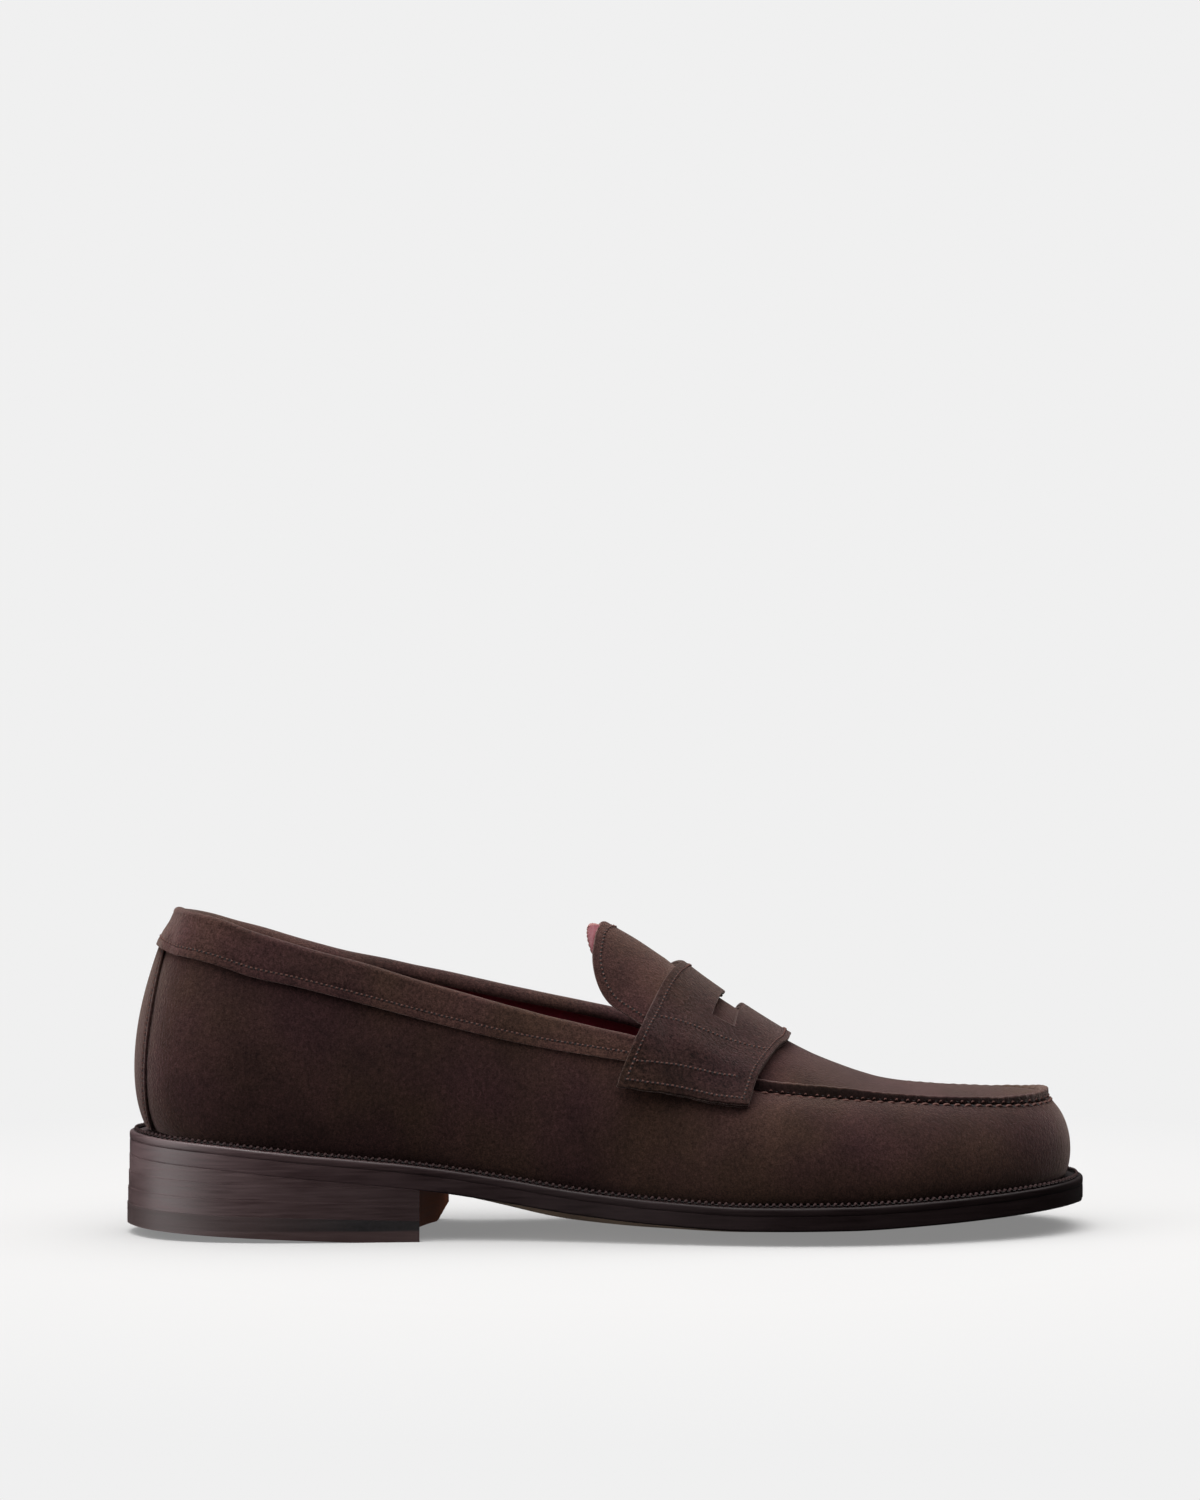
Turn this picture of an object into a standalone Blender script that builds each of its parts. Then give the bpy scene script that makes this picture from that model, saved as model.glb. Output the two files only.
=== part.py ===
"""Right penny loafer: a suede upper on a welted leather sole with a stacked heel.

Every piece is the shoemaker's own: skirt, apron, tongue, saddle strap, linings, stiffeners, insole,
filler, shank, welt, outsole and the heel's lifts, each a separate solid.

Frame: +X to the toe, +Y to the inner side of the foot, +Z up, origin on the ground under the middle of
the shoe. Lengths are millimetres, and MM turns them into Blender's metres.
"""

import math

import bmesh
import bpy
import numpy as np

MM = 0.001
GAP = 0.3  # clearance that touching pieces keep

# Sole
WELT_WIDTH = 11.6
WELT_THICK = 2.7
SOLE_STACK = 7.5  # welt and outsole together, at the edge
INSOLE_THICK = 3.0
SOCK_THICK = 1.0
RIB_WIDTH = 2.2
SHANK = {"start": -96.0, "end": -4.0, "width": 13.0, "thick": 1.6}
CORK = {"start": 2.0, "end": 132.0}

# Heel
BREAST_LATERAL = -58.5  # x of the heel's front corners
BREAST_MEDIAL = -51.5
BREAST_HOLLOW = 6.5  # how far the front face is hollowed back
TOP_PIECE = 6.4
LIFT = 4.7
HEEL_FLARE = 1.0
HEEL_TILT = 0.033  # rise of the lifts towards the back
WEDGE_START = -86.0
TREAD_FLAT_END = -78.0  # the tread is flat ahead of this and lifts behind it
TREAD_BACK_RISE = 3.2
NAIL_RADIUS = 0.9
NAIL_LENGTH = 9.6

# Rows of points up the side wall, as shares of its height
LINES = (0, 0.1, 0.22, 0.36, 0.5, 0.64, 0.76, 0.86, 0.94, 1)

# Upper leathers, as depths inwards from the outer surface of the skirt
SUEDE = 1.5
STIFFENER = 1.1
LINING = 0.9
BINDING = 0.9
COLLAR_TURN_IN = 4.5
COLLAR_END = 10.5
BACK_STRIP_REACH = 0.024  # each way from the back, as a share of the way round
BACK_STRIP_BULK = 1.2  # how far the back strip pushes the collar out
COUNTER_START = -96.0
TOE_PUFF_START = 103.0
SADDLE_LEATHER = 1.2
SADDLE_BACKING = 0.7
SADDLE_CLEARANCE = 0.6

# Apron and tongue
SEAM_START = 60.0  # the apron's stitches show from here forward
RIM_WIDTH = 2.1
APRON_REAR = 24.5
TONGUE_FRONT = 21.5
TONGUE_REAR = 0.0  # x of the tongue's rear edge on the centre line
TONGUE_CORNER = 8.0
TONGUE_SET_BACK = 12.0
TONGUE_CLEARANCE = 2.0  # between the flap and its root, for the flap's swing

# Saddle strap: x of its edges, against the share of the way from the crest of the instep to its ends
SADDLE_REAR = ((0, 22.4), (0.08, 21.3), (0.26, 17.7), (0.5, 12.9), (0.67, 9.8), (0.81, 6.7), (1, 2.6))
SADDLE_FRONT = ((0, 56.8), (0.23, 55.6), (0.36, 53.1), (0.6, 48.8), (0.75, 46.1), (1, 43))
SLOT_REAR = ((0, 35.6), (0.34, 32.0))
SLOT_FRONT = ((0, 41.4), (0.34, 38.7))

SUEDE_BROWN = (0.045, 0.028, 0.022)
BURGUNDY = (0.16, 0.012, 0.025)
EDGE_BROWN = (0.06, 0.042, 0.045)
TAN = (0.36, 0.19, 0.09)


def smooth(points):
    """A function through (x, value) points with no overshoot between them."""
    xs, ys = np.array(points, float).T
    step = np.diff(xs)
    slope = np.diff(ys) / step
    tangent = np.zeros(len(xs))
    tangent[0], tangent[-1] = slope[0], slope[-1]
    for i in range(1, len(xs) - 1):
        if slope[i - 1] * slope[i] > 0:
            before = 2 * step[i] + step[i - 1]
            after = step[i] + 2 * step[i - 1]
            tangent[i] = (before + after) / (before / slope[i - 1] + after / slope[i])

    def value(x):
        x = np.clip(x, xs[0], xs[-1])
        i = np.clip(np.searchsorted(xs, x) - 1, 0, len(step) - 1)
        t = (x - xs[i]) / step[i]
        s = 1 - t
        return (
            (1 + 2 * t) * s * s * ys[i]
            + t * s * s * step[i] * tangent[i]
            + t * t * (3 - 2 * t) * ys[i + 1]
            - t * t * s * step[i] * tangent[i + 1]
        )

    return value


def closed_curve(points, samples=960):
    """Even points on a smooth closed curve, the first repeated as the last, and its outward normals."""
    p = np.array(points, float)
    n = len(p)
    chord = np.linalg.norm(np.roll(p, -1, 0) - p, axis=1)
    matrix = np.zeros((n, n))
    bend = np.zeros((n, 2))
    for i in range(n):
        before, after = chord[i - 1], chord[i]
        matrix[i, i - 1] += before
        matrix[i, i] += 2 * (before + after)
        matrix[i, (i + 1) % n] += after
        bend[i] = 6 * ((p[(i + 1) % n] - p[i]) / after - (p[i] - p[i - 1]) / before)
    second = np.linalg.solve(matrix, bend)
    dense = []
    for i in range(n):
        j, h = (i + 1) % n, chord[i]
        for s in np.linspace(0, h, 40, endpoint=False):
            dense.append(
                (second[i] * (h - s) ** 3 + second[j] * s**3) / (6 * h)
                + (p[i] / h - second[i] * h / 6) * (h - s)
                + (p[j] / h - second[j] * h / 6) * s
            )
    dense = np.array(dense + [dense[0]])
    run = np.concatenate([[0], np.cumsum(np.linalg.norm(np.diff(dense, axis=0), axis=1))])
    even = np.linspace(0, run[-1], samples + 1)
    loop = np.stack([np.interp(even, run, dense[:, k]) for k in (0, 1)], 1)
    tangent = np.roll(loop[:-1], -1, 0) - np.roll(loop[:-1], 1, 0)
    tangent = np.vstack([tangent, tangent[:1]])
    tangent /= np.linalg.norm(tangent, axis=1)[:, None]
    return loop, np.stack([tangent[:, 1], -tangent[:, 0]], 1)


# Plan of the outsole: from the back of the heel along the outer side to the toe, back along the inner side
SOLE_PLAN = [
    (-151, -9), (-147.5, -22.5), (-139.5, -33), (-125, -40.3), (-104, -42.8), (-79, -41.2), (-54, -38.9),
    (-28, -39.5), (2, -44.6), (32, -50.6), (57, -53), (80, -51.2), (102, -45.6), (121, -37), (137, -25.5),
    (147.5, -11), (151, 6), (148.3, 21), (139.5, 33), (125, 42.3), (107, 49), (86, 52.7), (64, 52.6),
    (41, 47.4), (17, 37.4), (-8, 28), (-33, 23.4), (-58, 23), (-83, 25.2), (-106, 25.6), (-127, 22),
    (-140.5, 13.8), (-148.5, 3),
]
LOOP, NORMAL = closed_curve(SOLE_PLAN)
ROUND = np.linspace(0, 1, len(LOOP))
U_TOE = ROUND[np.argmax(LOOP[:, 0])]

# Heights along the shoe
WELT_TOP = smooth([
    (-151, 32.2), (-125, 30.3), (-95, 27.2), (-60, 23.6), (-33, 19.6), (-10, 16.0), (15, 13.5),
    (45, 12.0), (75, 12.2), (100, 13.3), (125, 14.8), (151, 16.6),
])
CAMBER = smooth([(-75, 0), (-45, 2.4), (-12, 4.8), (20, 4.6), (52, 4.4), (90, 3.4), (130, 2.0), (151, 1.5)])
TOP_Z_LATERAL = smooth([
    (-138, 102.8), (-128, 101.6), (-120, 99.6), (-111, 96.4), (-95.5, 91.6), (-77, 86.4), (-52, 78.9),
    (-27, 71.9), (-2.6, 66.3), (9.7, 63.6), (20, 60), (28, 55), (37, 49.6), (47, 45.9), (59, 44.5),
    (84, 42.6), (110, 41.2), (131, 40.4), (141, 40.8),
])
TOP_Z_MEDIAL = smooth([
    (-138, 102.8), (-128, 100.0), (-111, 94.8), (-86, 87.7), (-60, 82.2), (-35, 76.6), (-9, 70.9),
    (6, 67.3), (16, 63.5), (28, 56.5), (37, 50.6), (47, 46.3), (59, 44.2), (84, 41.9), (110, 40.6),
    (131, 40.2), (141, 40.8),
])
RIM_HEIGHT = smooth([(24, 3.0), (47, 3.9), (72, 3.8), (88, 2.9), (112, 2.4), (126, 2.6), (141, 3.4)])

COLLAR_BAND = smooth([
    (-151, 11.6), (-138, 13.2), (-114, 14), (-95, 13.4), (-70, 13), (-46, 12), (-21, 10.6), (4, 9),
    (14, 8.6),
])

# Shape of the side wall, by the outsole's x: how far its top leans in from its foot, and its bulges
FOOT_IN = smooth([(-151, 7), (-140, 6.2), (-120, 5.6), (151, 5.6)])
TOP_IN_LATERAL = smooth([
    (-151, 9.2), (-146, 8), (-138, 6.2), (-125, 4.8), (-100, 3.6), (-60, 1), (-20, 0.4), (4, 2),
    (16, 6.5), (26, 10.5), (40, 13), (60, 13.6), (85, 13.4), (105, 12), (125, 9.2), (141, 6.4), (151, 5.2),
])
TOP_IN_MEDIAL = smooth([
    (-151, 9.2), (-146, 8), (-138, 6.2), (-125, 4.8), (-100, 3.2), (-60, -0.6), (-20, -1.8), (4, 0.6),
    (16, 5.5), (26, 10), (40, 13), (60, 14), (85, 14), (105, 12.4), (125, 9.4), (141, 6.4), (151, 5.2),
])
FOOT_OUT = smooth([(-151, 8), (-125, 7), (-80, 6), (-20, 6), (20, 4.6), (60, 4), (110, 3.4), (151, 2.6)])
FOOT_UP = smooth([(-151, 0.19), (-60, 0.22), (60, 0.25), (151, 0.24)])
SHOULDER_OUT = smooth([
    (-151, 14.6), (-140, 11.6), (-125, 9.6), (-80, 6.2), (-40, 5), (0, 6),
    (20, 9), (40, 13.4), (60, 14.6), (100, 13.4), (125, 10.6), (151, 7.6),
])
SHOULDER_DOWN = smooth([
    (-151, 0.41), (-80, 0.35), (-20, 0.3), (20, 0.2), (45, 0.1), (100, 0.12), (125, 0.18), (151, 0.24),
])

# Crest of the instep, and the tongue's side edges
CREST_Z = smooth([
    (-8, 102.2), (-1, 97.6), (10, 91), (21.4, 83.3), (35, 73.3), (46, 66.1), (57.6, 59.0), (65, 55.2),
    (73.6, 51.7), (80, 49.4), (87, 47.4), (95, 46.1), (106, 45.0), (119, 44.1), (131, 43.6), (141, 43.4),
])
CREST_Y = smooth([(-8, -5), (12, -4.4), (28, -3.2), (47, -1), (60, 0), (84, 2), (110, 3.8), (141, 5.6)])
TONGUE_EDGE_LATERAL = {
    "y": smooth([(-8, -24), (2, -26.5), (12, -29.3), (24.5, -32)]),
    "z": smooth([(-8, 78), (2, 71.9), (12, 65.8), (24.5, 59.4)]),
}
TONGUE_EDGE_MEDIAL = {
    "y": smooth([(-8, 14.5), (2, 17), (12, 20.5), (24.5, 26)]),
    "z": smooth([(-8, 80), (2, 74), (12, 68), (24.5, 61)]),
}


def plan(u, inset=0.0):
    """Points on the outsole's outline at shares u of the way round, moved inwards by inset."""
    p = np.stack([np.interp(u, ROUND, LOOP[:, k]) for k in (0, 1)], -1)
    n = np.stack([np.interp(u, ROUND, NORMAL[:, k]) for k in (0, 1)], -1)
    n /= np.linalg.norm(n, axis=-1)[..., None]
    return p - n * np.asarray(inset, float)[..., None], n


def by_side(u, lateral, medial, x):
    return np.where(u < U_TOE, lateral(x), medial(x))


def wall(u, t, depth=0.0):
    """Points on the upper's side: u round the shoe, t up from the welt to the top edge, depth inside it."""
    u, t = np.broadcast_arrays(np.asarray(u, float), np.asarray(t, float))
    p, n = plan(u)
    x = p[..., 0]
    foot_in = FOOT_IN(x)
    top_in = foot_in + by_side(u, TOP_IN_LATERAL, TOP_IN_MEDIAL, x)
    top_z = by_side(u, TOP_Z_LATERAL, TOP_Z_MEDIAL, x - n[..., 0] * top_in)
    foot_z = WELT_TOP(x - n[..., 0] * foot_in) + GAP
    height = top_z - foot_z
    out = [-foot_in, -foot_in + FOOT_OUT(x), -top_in + SHOULDER_OUT(x), -top_in]
    up = [foot_z, foot_z + FOOT_UP(x) * height, top_z - SHOULDER_DOWN(x) * height, top_z]
    s = 1 - t
    weight = (s**3, 3 * s * s * t, 3 * s * t * t, t**3)
    o = sum(w * v for w, v in zip(weight, out))
    z = sum(w * v for w, v in zip(weight, up))
    rate = (s * s, 2 * s * t, t * t)
    do = sum(w * (out[k + 1] - out[k]) for k, w in enumerate(rate))
    dz = sum(w * (up[k + 1] - up[k]) for k, w in enumerate(rate))
    size = np.hypot(do, dz)
    o = o - depth * dz / size
    z = z + depth * do / size
    return np.stack([x + n[..., 0] * o, p[..., 1] + n[..., 1] * o, z], -1)


def height_share(u, below):
    """The t that lies a distance below the top edge, measured along the wall."""
    ts = np.linspace(0, 1, 81)
    us = np.atleast_1d(u)
    found = []
    for one, drop in zip(us, np.broadcast_to(below, us.shape)):
        points = wall(np.full(len(ts), one), ts)
        run = np.concatenate([[0], np.cumsum(np.linalg.norm(np.diff(points, axis=0), axis=1))])
        found.append(np.interp(run[-1] - drop, run, ts))
    return np.array(found)


def equal_sagitta(start, end, count):
    """Shares round the outline that stand closer together where it curves more."""
    us = np.linspace(start, end, 400)
    p, n = plan(us)
    turn = np.linalg.norm(np.gradient(n, axis=0), axis=1)
    turn += np.where((p[:, 0] > 2) & (p[:, 0] < 42), 0.006, 0.0012)
    run = np.concatenate([[0], np.cumsum(np.sqrt(turn[1:]))])
    return np.interp(np.linspace(0, run[-1], count + 1), run, us)


STATIONS = np.concatenate([equal_sagitta(0, U_TOE, 36)[:-1], equal_sagitta(U_TOE, 1, 36)[:-1]])
NEAREST = 0.004  # two stations are never closer than this
LATERAL_U = ROUND[ROUND <= U_TOE]
MEDIAL_U = ROUND[ROUND >= U_TOE][::-1]


def u_where(side, x, top=False):
    """The share of the way round at which the outline, or the wall's top edge, passes x."""
    us = LATERAL_U if side == "lateral" else MEDIAL_U
    xs = wall(us, 1.0)[:, 0] if top else plan(us)[0][:, 0]
    return np.interp(x, np.maximum.accumulate(xs), us)


def rim_point(side, x, inward, up):
    """A point beside the apron's seam at x: inward of it and above it."""
    u = u_where(side, x, top=True)
    n = plan(u)[1]
    p = wall(u, 1.0)
    p[..., :2] -= n * inward
    p[..., 2] += up
    return p


TIP_X = float(wall(LATERAL_U, 1.0)[:, 0].max())


def bezier(a, b, c, d, t):
    s = 1 - t
    return s**3 * a + 3 * s * s * t * b + 3 * s * t * t * c + t**3 * d


def half_section(edge, crest, t):
    """Points from an edge up over to the crest, level at the crest."""
    x = edge[0]
    spread = np.interp(x, (14, 46), (0.22, 0.333))
    climb = np.interp(x, (14, 46), (0.56, 0.667))
    rise = crest[2] - edge[2]
    across = crest - edge
    across[2] = 0
    near = edge + across * spread + np.array([0, 0, climb * rise])
    far = crest - across * 0.34
    return np.array([bezier(edge, near, far, crest, s) for s in t])


def crest_point(x):
    """The crest that a section meets. Round the toe the sections fan out from a stretch well behind the tip."""
    fan_start, fan_reach = 84.0, 27.0
    if x > fan_start:
        x = fan_start + fan_reach * (1 - math.exp(-(x - fan_start) / fan_reach))
    return np.array([x, CREST_Y(x), CREST_Z(x)], float)


def across_instep(x, edges, half_count):
    """A section from the lateral edge over the crest to the medial edge."""
    t = np.linspace(0, 1, half_count + 1)
    crest = crest_point(x)
    lateral = half_section(edges[0], crest, t)
    medial = half_section(edges[1], crest, t)
    return np.vstack([lateral, medial[-2::-1]])


def offset_grid(grid, depth):
    """The grid moved along its own normals. Positive depth goes towards the inside of the foot's space."""
    along = np.gradient(grid, axis=0)
    across = np.gradient(grid, axis=1)
    normal = np.cross(along, across)
    size = np.linalg.norm(normal, axis=-1, keepdims=True)
    normal = normal / np.maximum(size, 1e-9)
    normal[normal[..., 2] < 0] *= -1
    return grid - normal * depth


def material(name, colour, roughness, metallic=0.0):
    found = bpy.data.materials.get(name)
    if found is None:
        found = bpy.data.materials.new(name)
        found.use_nodes = True
        shader = found.node_tree.nodes["Principled BSDF"]
        shader.inputs["Base Color"].default_value = (*colour, 1)
        shader.inputs["Roughness"].default_value = roughness
        shader.inputs["Metallic"].default_value = metallic
    return found


def finish_mesh(bm, name, look, parent=None, weld=0.02):
    bmesh.ops.remove_doubles(bm, verts=bm.verts, dist=weld * MM)
    bmesh.ops.dissolve_degenerate(bm, edges=bm.edges, dist=weld * MM)
    bmesh.ops.recalc_face_normals(bm, faces=bm.faces)
    mesh = bpy.data.meshes.new(name)
    bm.to_mesh(mesh)
    bm.free()
    mesh.materials.append(look)
    mesh.shade_smooth()
    mesh.set_sharp_from_angle(angle=math.radians(40))
    obj = bpy.data.objects.new(name, mesh)
    bpy.context.scene.collection.objects.link(obj)
    if parent is not None:
        mesh.transform(parent.matrix_world.inverted())
        obj.parent = parent
    return obj


def sheet_solid(name, outer, inner, look, caps=(True, True), hole=None, parent=None):
    """A closed solid between two grids of points. hole is (first row, last row, first column, last column)."""
    rows, columns = outer.shape[:2]
    bm = bmesh.new()
    skins = [[[bm.verts.new(p * MM) for p in row] for row in skin] for skin in (outer, inner)]
    last = rows - 1

    def inside_hole(i, j):
        return hole is not None and hole[0] <= i < hole[1] and hole[2] <= j < hole[3]

    for i in range(last):
        k = i + 1
        for j in range(columns - 1):
            if not inside_hole(i, j):
                a, b = skins
                bm.faces.new((a[i][j], a[k][j], a[k][j + 1], a[i][j + 1]))
                bm.faces.new((b[i][j + 1], b[k][j + 1], b[k][j], b[i][j]))

    def edge_wall(first, second):
        (i, j), (k, m) = first, second
        bm.faces.new((skins[0][i][j], skins[0][k][m], skins[1][k][m], skins[1][i][j]))

    for i in range(last):
        for j in (0, columns - 1):
            edge_wall((i, j), (i + 1, j))
    for used, i in zip(caps, (0, last)):
        if used:
            for j in range(columns - 1):
                edge_wall((i, j), (i, j + 1))
    if hole is not None:
        for i in range(hole[0], hole[1]):
            for j in (hole[2], hole[3]):
                edge_wall((i, j), (i + 1, j))
        for j in range(hole[2], hole[3]):
            for i in (hole[0], hole[1]):
                edge_wall((i, j), (i, j + 1))
    return finish_mesh(bm, name, look, parent)


def prism(name, base, top, look):
    """A closed solid between two loops of points whose caps are flat."""
    bm = bmesh.new()
    low = [bm.verts.new(p * MM) for p in base]
    high = [bm.verts.new(p * MM) for p in top]
    bm.faces.new(low)
    bm.faces.new(high)
    for i in range(len(low)):
        k = (i + 1) % len(low)
        bm.faces.new((low[i], low[k], high[k], high[i]))
    return finish_mesh(bm, name, look)


def ring_solid(name, us, section, look):
    """A closed loop round the shoe. section(u) gives the corners of its cross-section."""
    corners = np.array([section(u) for u in us])
    bm = bmesh.new()
    verts = [[bm.verts.new(p * MM) for p in row] for row in corners]
    count = len(verts[0])
    for i in range(len(verts)):
        k = (i + 1) % len(verts)
        for j in range(count):
            m = (j + 1) % count
            bm.faces.new((verts[i][j], verts[k][j], verts[k][m], verts[i][m]))
    return finish_mesh(bm, name, look)


def band_point(u, inset, above):
    """A point on the sole's rim, inset from its edge and above the welt's top."""
    p = plan(u, inset)[0]
    return np.array([p[0], p[1], WELT_TOP(p[0]) + above])


def plate_grid(inset, height, rows=30, columns=6, start=None, end=None):
    """Points across the sole between its two sides, height(x, y, v) giving each z. v runs from -1 to 1."""
    shares = (1 - np.cos(np.linspace(0, math.pi, rows + 1))) / 2
    shares = 0.55 * shares + 0.45 * np.linspace(0, 1, rows + 1)
    dense_l, dense_m = plan(LATERAL_U, inset)[0], plan(MEDIAL_U, inset)[0]
    low = dense_l[:, 0].min() if start is None else start
    high = dense_l[:, 0].max() if end is None else end
    grid = np.zeros((rows + 1, columns + 1, 3))
    for i, share in enumerate(shares):
        x = low + (high - low) * share
        sides = [np.interp(x, np.maximum.accumulate(d[:, 0]), d[:, 1]) for d in (dense_l, dense_m)]
        at_tip = start is None and i == 0 or end is None and i == rows
        if at_tip:
            sides = [sum(sides) / 2] * 2
        for j in range(columns + 1):
            v = 2 * j / columns - 1
            y = sides[0] + (sides[1] - sides[0]) * (v + 1) / 2
            grid[i, j] = (x, y, height(x, y, 1.0 if at_tip else v))
    return grid


def camber_drop(x, v, inset=0.0, half_width=45.0):
    """How far the middle of the outsole hangs below its edge."""
    share = v * (half_width - inset) / half_width
    return CAMBER(x) * (1 - share * share) ** 1.5


def outsole_bottom(x, v, inset=0.0):
    return WELT_TOP(x) - SOLE_STACK - camber_drop(x, v, inset)


def outsole_top(x, v, inset=0.0):
    return WELT_TOP(x) - WELT_THICK - GAP - camber_drop(x, v, inset)


def heel_grid(z, start=None, hollow=BREAST_HOLLOW, rows=14, columns=8):
    """Plan of the heel at height z, in rows from its front face to the back."""
    flare = HEEL_FLARE * max(0.0, 1 - z / 22.0)
    u_l = u_where("lateral", BREAST_LATERAL if start is None else start)
    u_m = u_where("medial", BREAST_MEDIAL if start is None else start)
    lateral = plan(np.linspace(u_l, 0, rows + 1), -flare)[0]
    medial = plan(np.linspace(u_m, 1, rows + 1), -flare)[0]
    across = np.linspace(0, 1, columns + 1)
    grid = lateral[:, None] + (medial - lateral)[:, None] * across[None, :, None]
    back = np.array([-1.0, -0.12])
    fade = (1 - np.linspace(0, 1, rows + 1)) ** 3
    bow = hollow * 4 * across * (1 - across)
    return grid + fade[:, None, None] * bow[None, :, None] * back


def lift_plane(x, level):
    """Top of the top piece at level 0, then of each lift above it, all tilted up towards the back."""
    return TOP_PIECE + level * (LIFT + GAP) + HEEL_TILT * (BREAST_LATERAL - x)


def under_outsole(grid):
    """Heights just below the outsole over a plan grid of the heel."""
    v = np.linspace(-1, 1, grid.shape[1])[None, :]
    x = grid[..., 0]
    return WELT_TOP(x) - SOLE_STACK - camber_drop(x, v) - GAP


def heel_slab(name, low, high, look, z_plan, roof=False, **shape):
    grid = heel_grid(z_plan, **shape)
    x = grid[..., 0]
    top = np.minimum(high(x), under_outsole(grid)) if roof else high(x)
    return sheet_solid(name, np.dstack([grid, top]), np.dstack([grid, low(x)]), look, caps=(True, False))


def cut_plane(obj, point, normal):
    """Removes what lies on the side that the normal points to, and closes the cut."""
    bm = bmesh.new()
    bm.from_mesh(obj.data)
    geometry = bm.verts[:] + bm.edges[:] + bm.faces[:]
    cut = bmesh.ops.bisect_plane(
        bm,
        geom=geometry,
        plane_co=np.array(point, float) * MM,
        plane_no=normal,
        clear_outer=True,
    )
    edges = [e for e in cut["geom_cut"] if isinstance(e, bmesh.types.BMEdge)]
    bmesh.ops.contextual_create(bm, geom=edges)
    bmesh.ops.recalc_face_normals(bm, faces=bm.faces)
    bm.to_mesh(obj.data)
    bm.free()


def cylinder(name, centre, radius, low, high, look, sides=10):
    angles = np.arange(sides) * 2 * math.pi / sides
    ring = np.stack([centre[0] + radius * np.cos(angles), centre[1] + radius * np.sin(angles)], 1)
    return prism(
        name,
        np.column_stack([ring, np.full(sides, low)]),
        np.column_stack([ring, np.full(sides, high)]),
        look,
    )


def make_heel(looks):
    """The rubber top piece with its bevelled inner corner, two lifts, and the wedge under the outsole."""
    tread_slope = TREAD_BACK_RISE / (TREAD_FLAT_END + 151)

    def tread(x):
        return (TREAD_FLAT_END - x) * tread_slope

    top_piece = heel_slab("heel_top_piece", tread, lambda x: lift_plane(x, 0), looks["rubber"], 3)
    cut_plane(top_piece, (0, 0, 0), (0, 0, -1))
    corner = heel_grid(0)[0, -1]
    notch = [
        np.array([corner[0], corner[1], TOP_PIECE - 0.4]),
        np.array([corner[0] - 2.6, corner[1] - 9.0, 0]),
        np.array([corner[0] - 8.0, corner[1], 0]),
    ]
    facing = np.cross(notch[1] - notch[0], notch[2] - notch[0])
    facing *= np.sign(facing[0])
    cut_plane(top_piece, notch[0], tuple(facing / np.linalg.norm(facing)))
    lower = heel_slab(
        "heel_lift_lower", lambda x: lift_plane(x, 0) + GAP, lambda x: lift_plane(x, 1), looks["stack"], 8.5
    )
    heel_slab(
        "heel_lift_upper",
        lambda x: lift_plane(x, 1) + GAP,
        lambda x: lift_plane(x, 2),
        looks["stack"],
        13.5,
        roof=True,
    )
    heel_slab(
        "heel_wedge",
        lambda x: lift_plane(x, 2) + GAP,
        lambda x: lift_plane(x, 20),
        looks["stack"],
        18.5,
        roof=True,
        start=WEDGE_START,
        hollow=0,
    )
    make_nails((top_piece, lower), tread, looks["brass"])


def make_nails(pieces, tread, look):
    """Brass pins driven up through the tread in a horseshoe, and the holes that they stand in."""
    shares = (0.72, 0.86, 0.955, 0.045, 0.14, 0.28)
    u_l, u_m = u_where("lateral", -72.0), u_where("medial", -72.0)
    cutter = bmesh.new()
    for number, share in enumerate(shares, 1):
        u = u_l * share / 0.28 if share < 0.5 else 1 - (1 - u_m) * (1 - share) / 0.28
        centre = plan(u, 8.5)[0]
        low = max(0.0, tread(centre[0])) + 0.4
        cylinder(f"heel_pin_{number}", centre, NAIL_RADIUS, low, low + NAIL_LENGTH, look, sides=8)
        hole = cylinder("hole", centre, NAIL_RADIUS + 0.3, low - 3, low + NAIL_LENGTH + GAP, look, sides=8)
        cutter.from_mesh(hole.data)
        bpy.data.objects.remove(hole)
    mesh = bpy.data.meshes.new("pin_holes")
    cutter.to_mesh(mesh)
    cutter.free()
    holes = bpy.data.objects.new("pin_holes", mesh)
    bpy.context.scene.collection.objects.link(holes)
    holes.hide_render = True
    holes.display_type = "WIRE"
    for piece in pieces:
        cut = piece.modifiers.new("pin holes", "BOOLEAN")
        cut.operation = "DIFFERENCE"
        cut.object = holes


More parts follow.
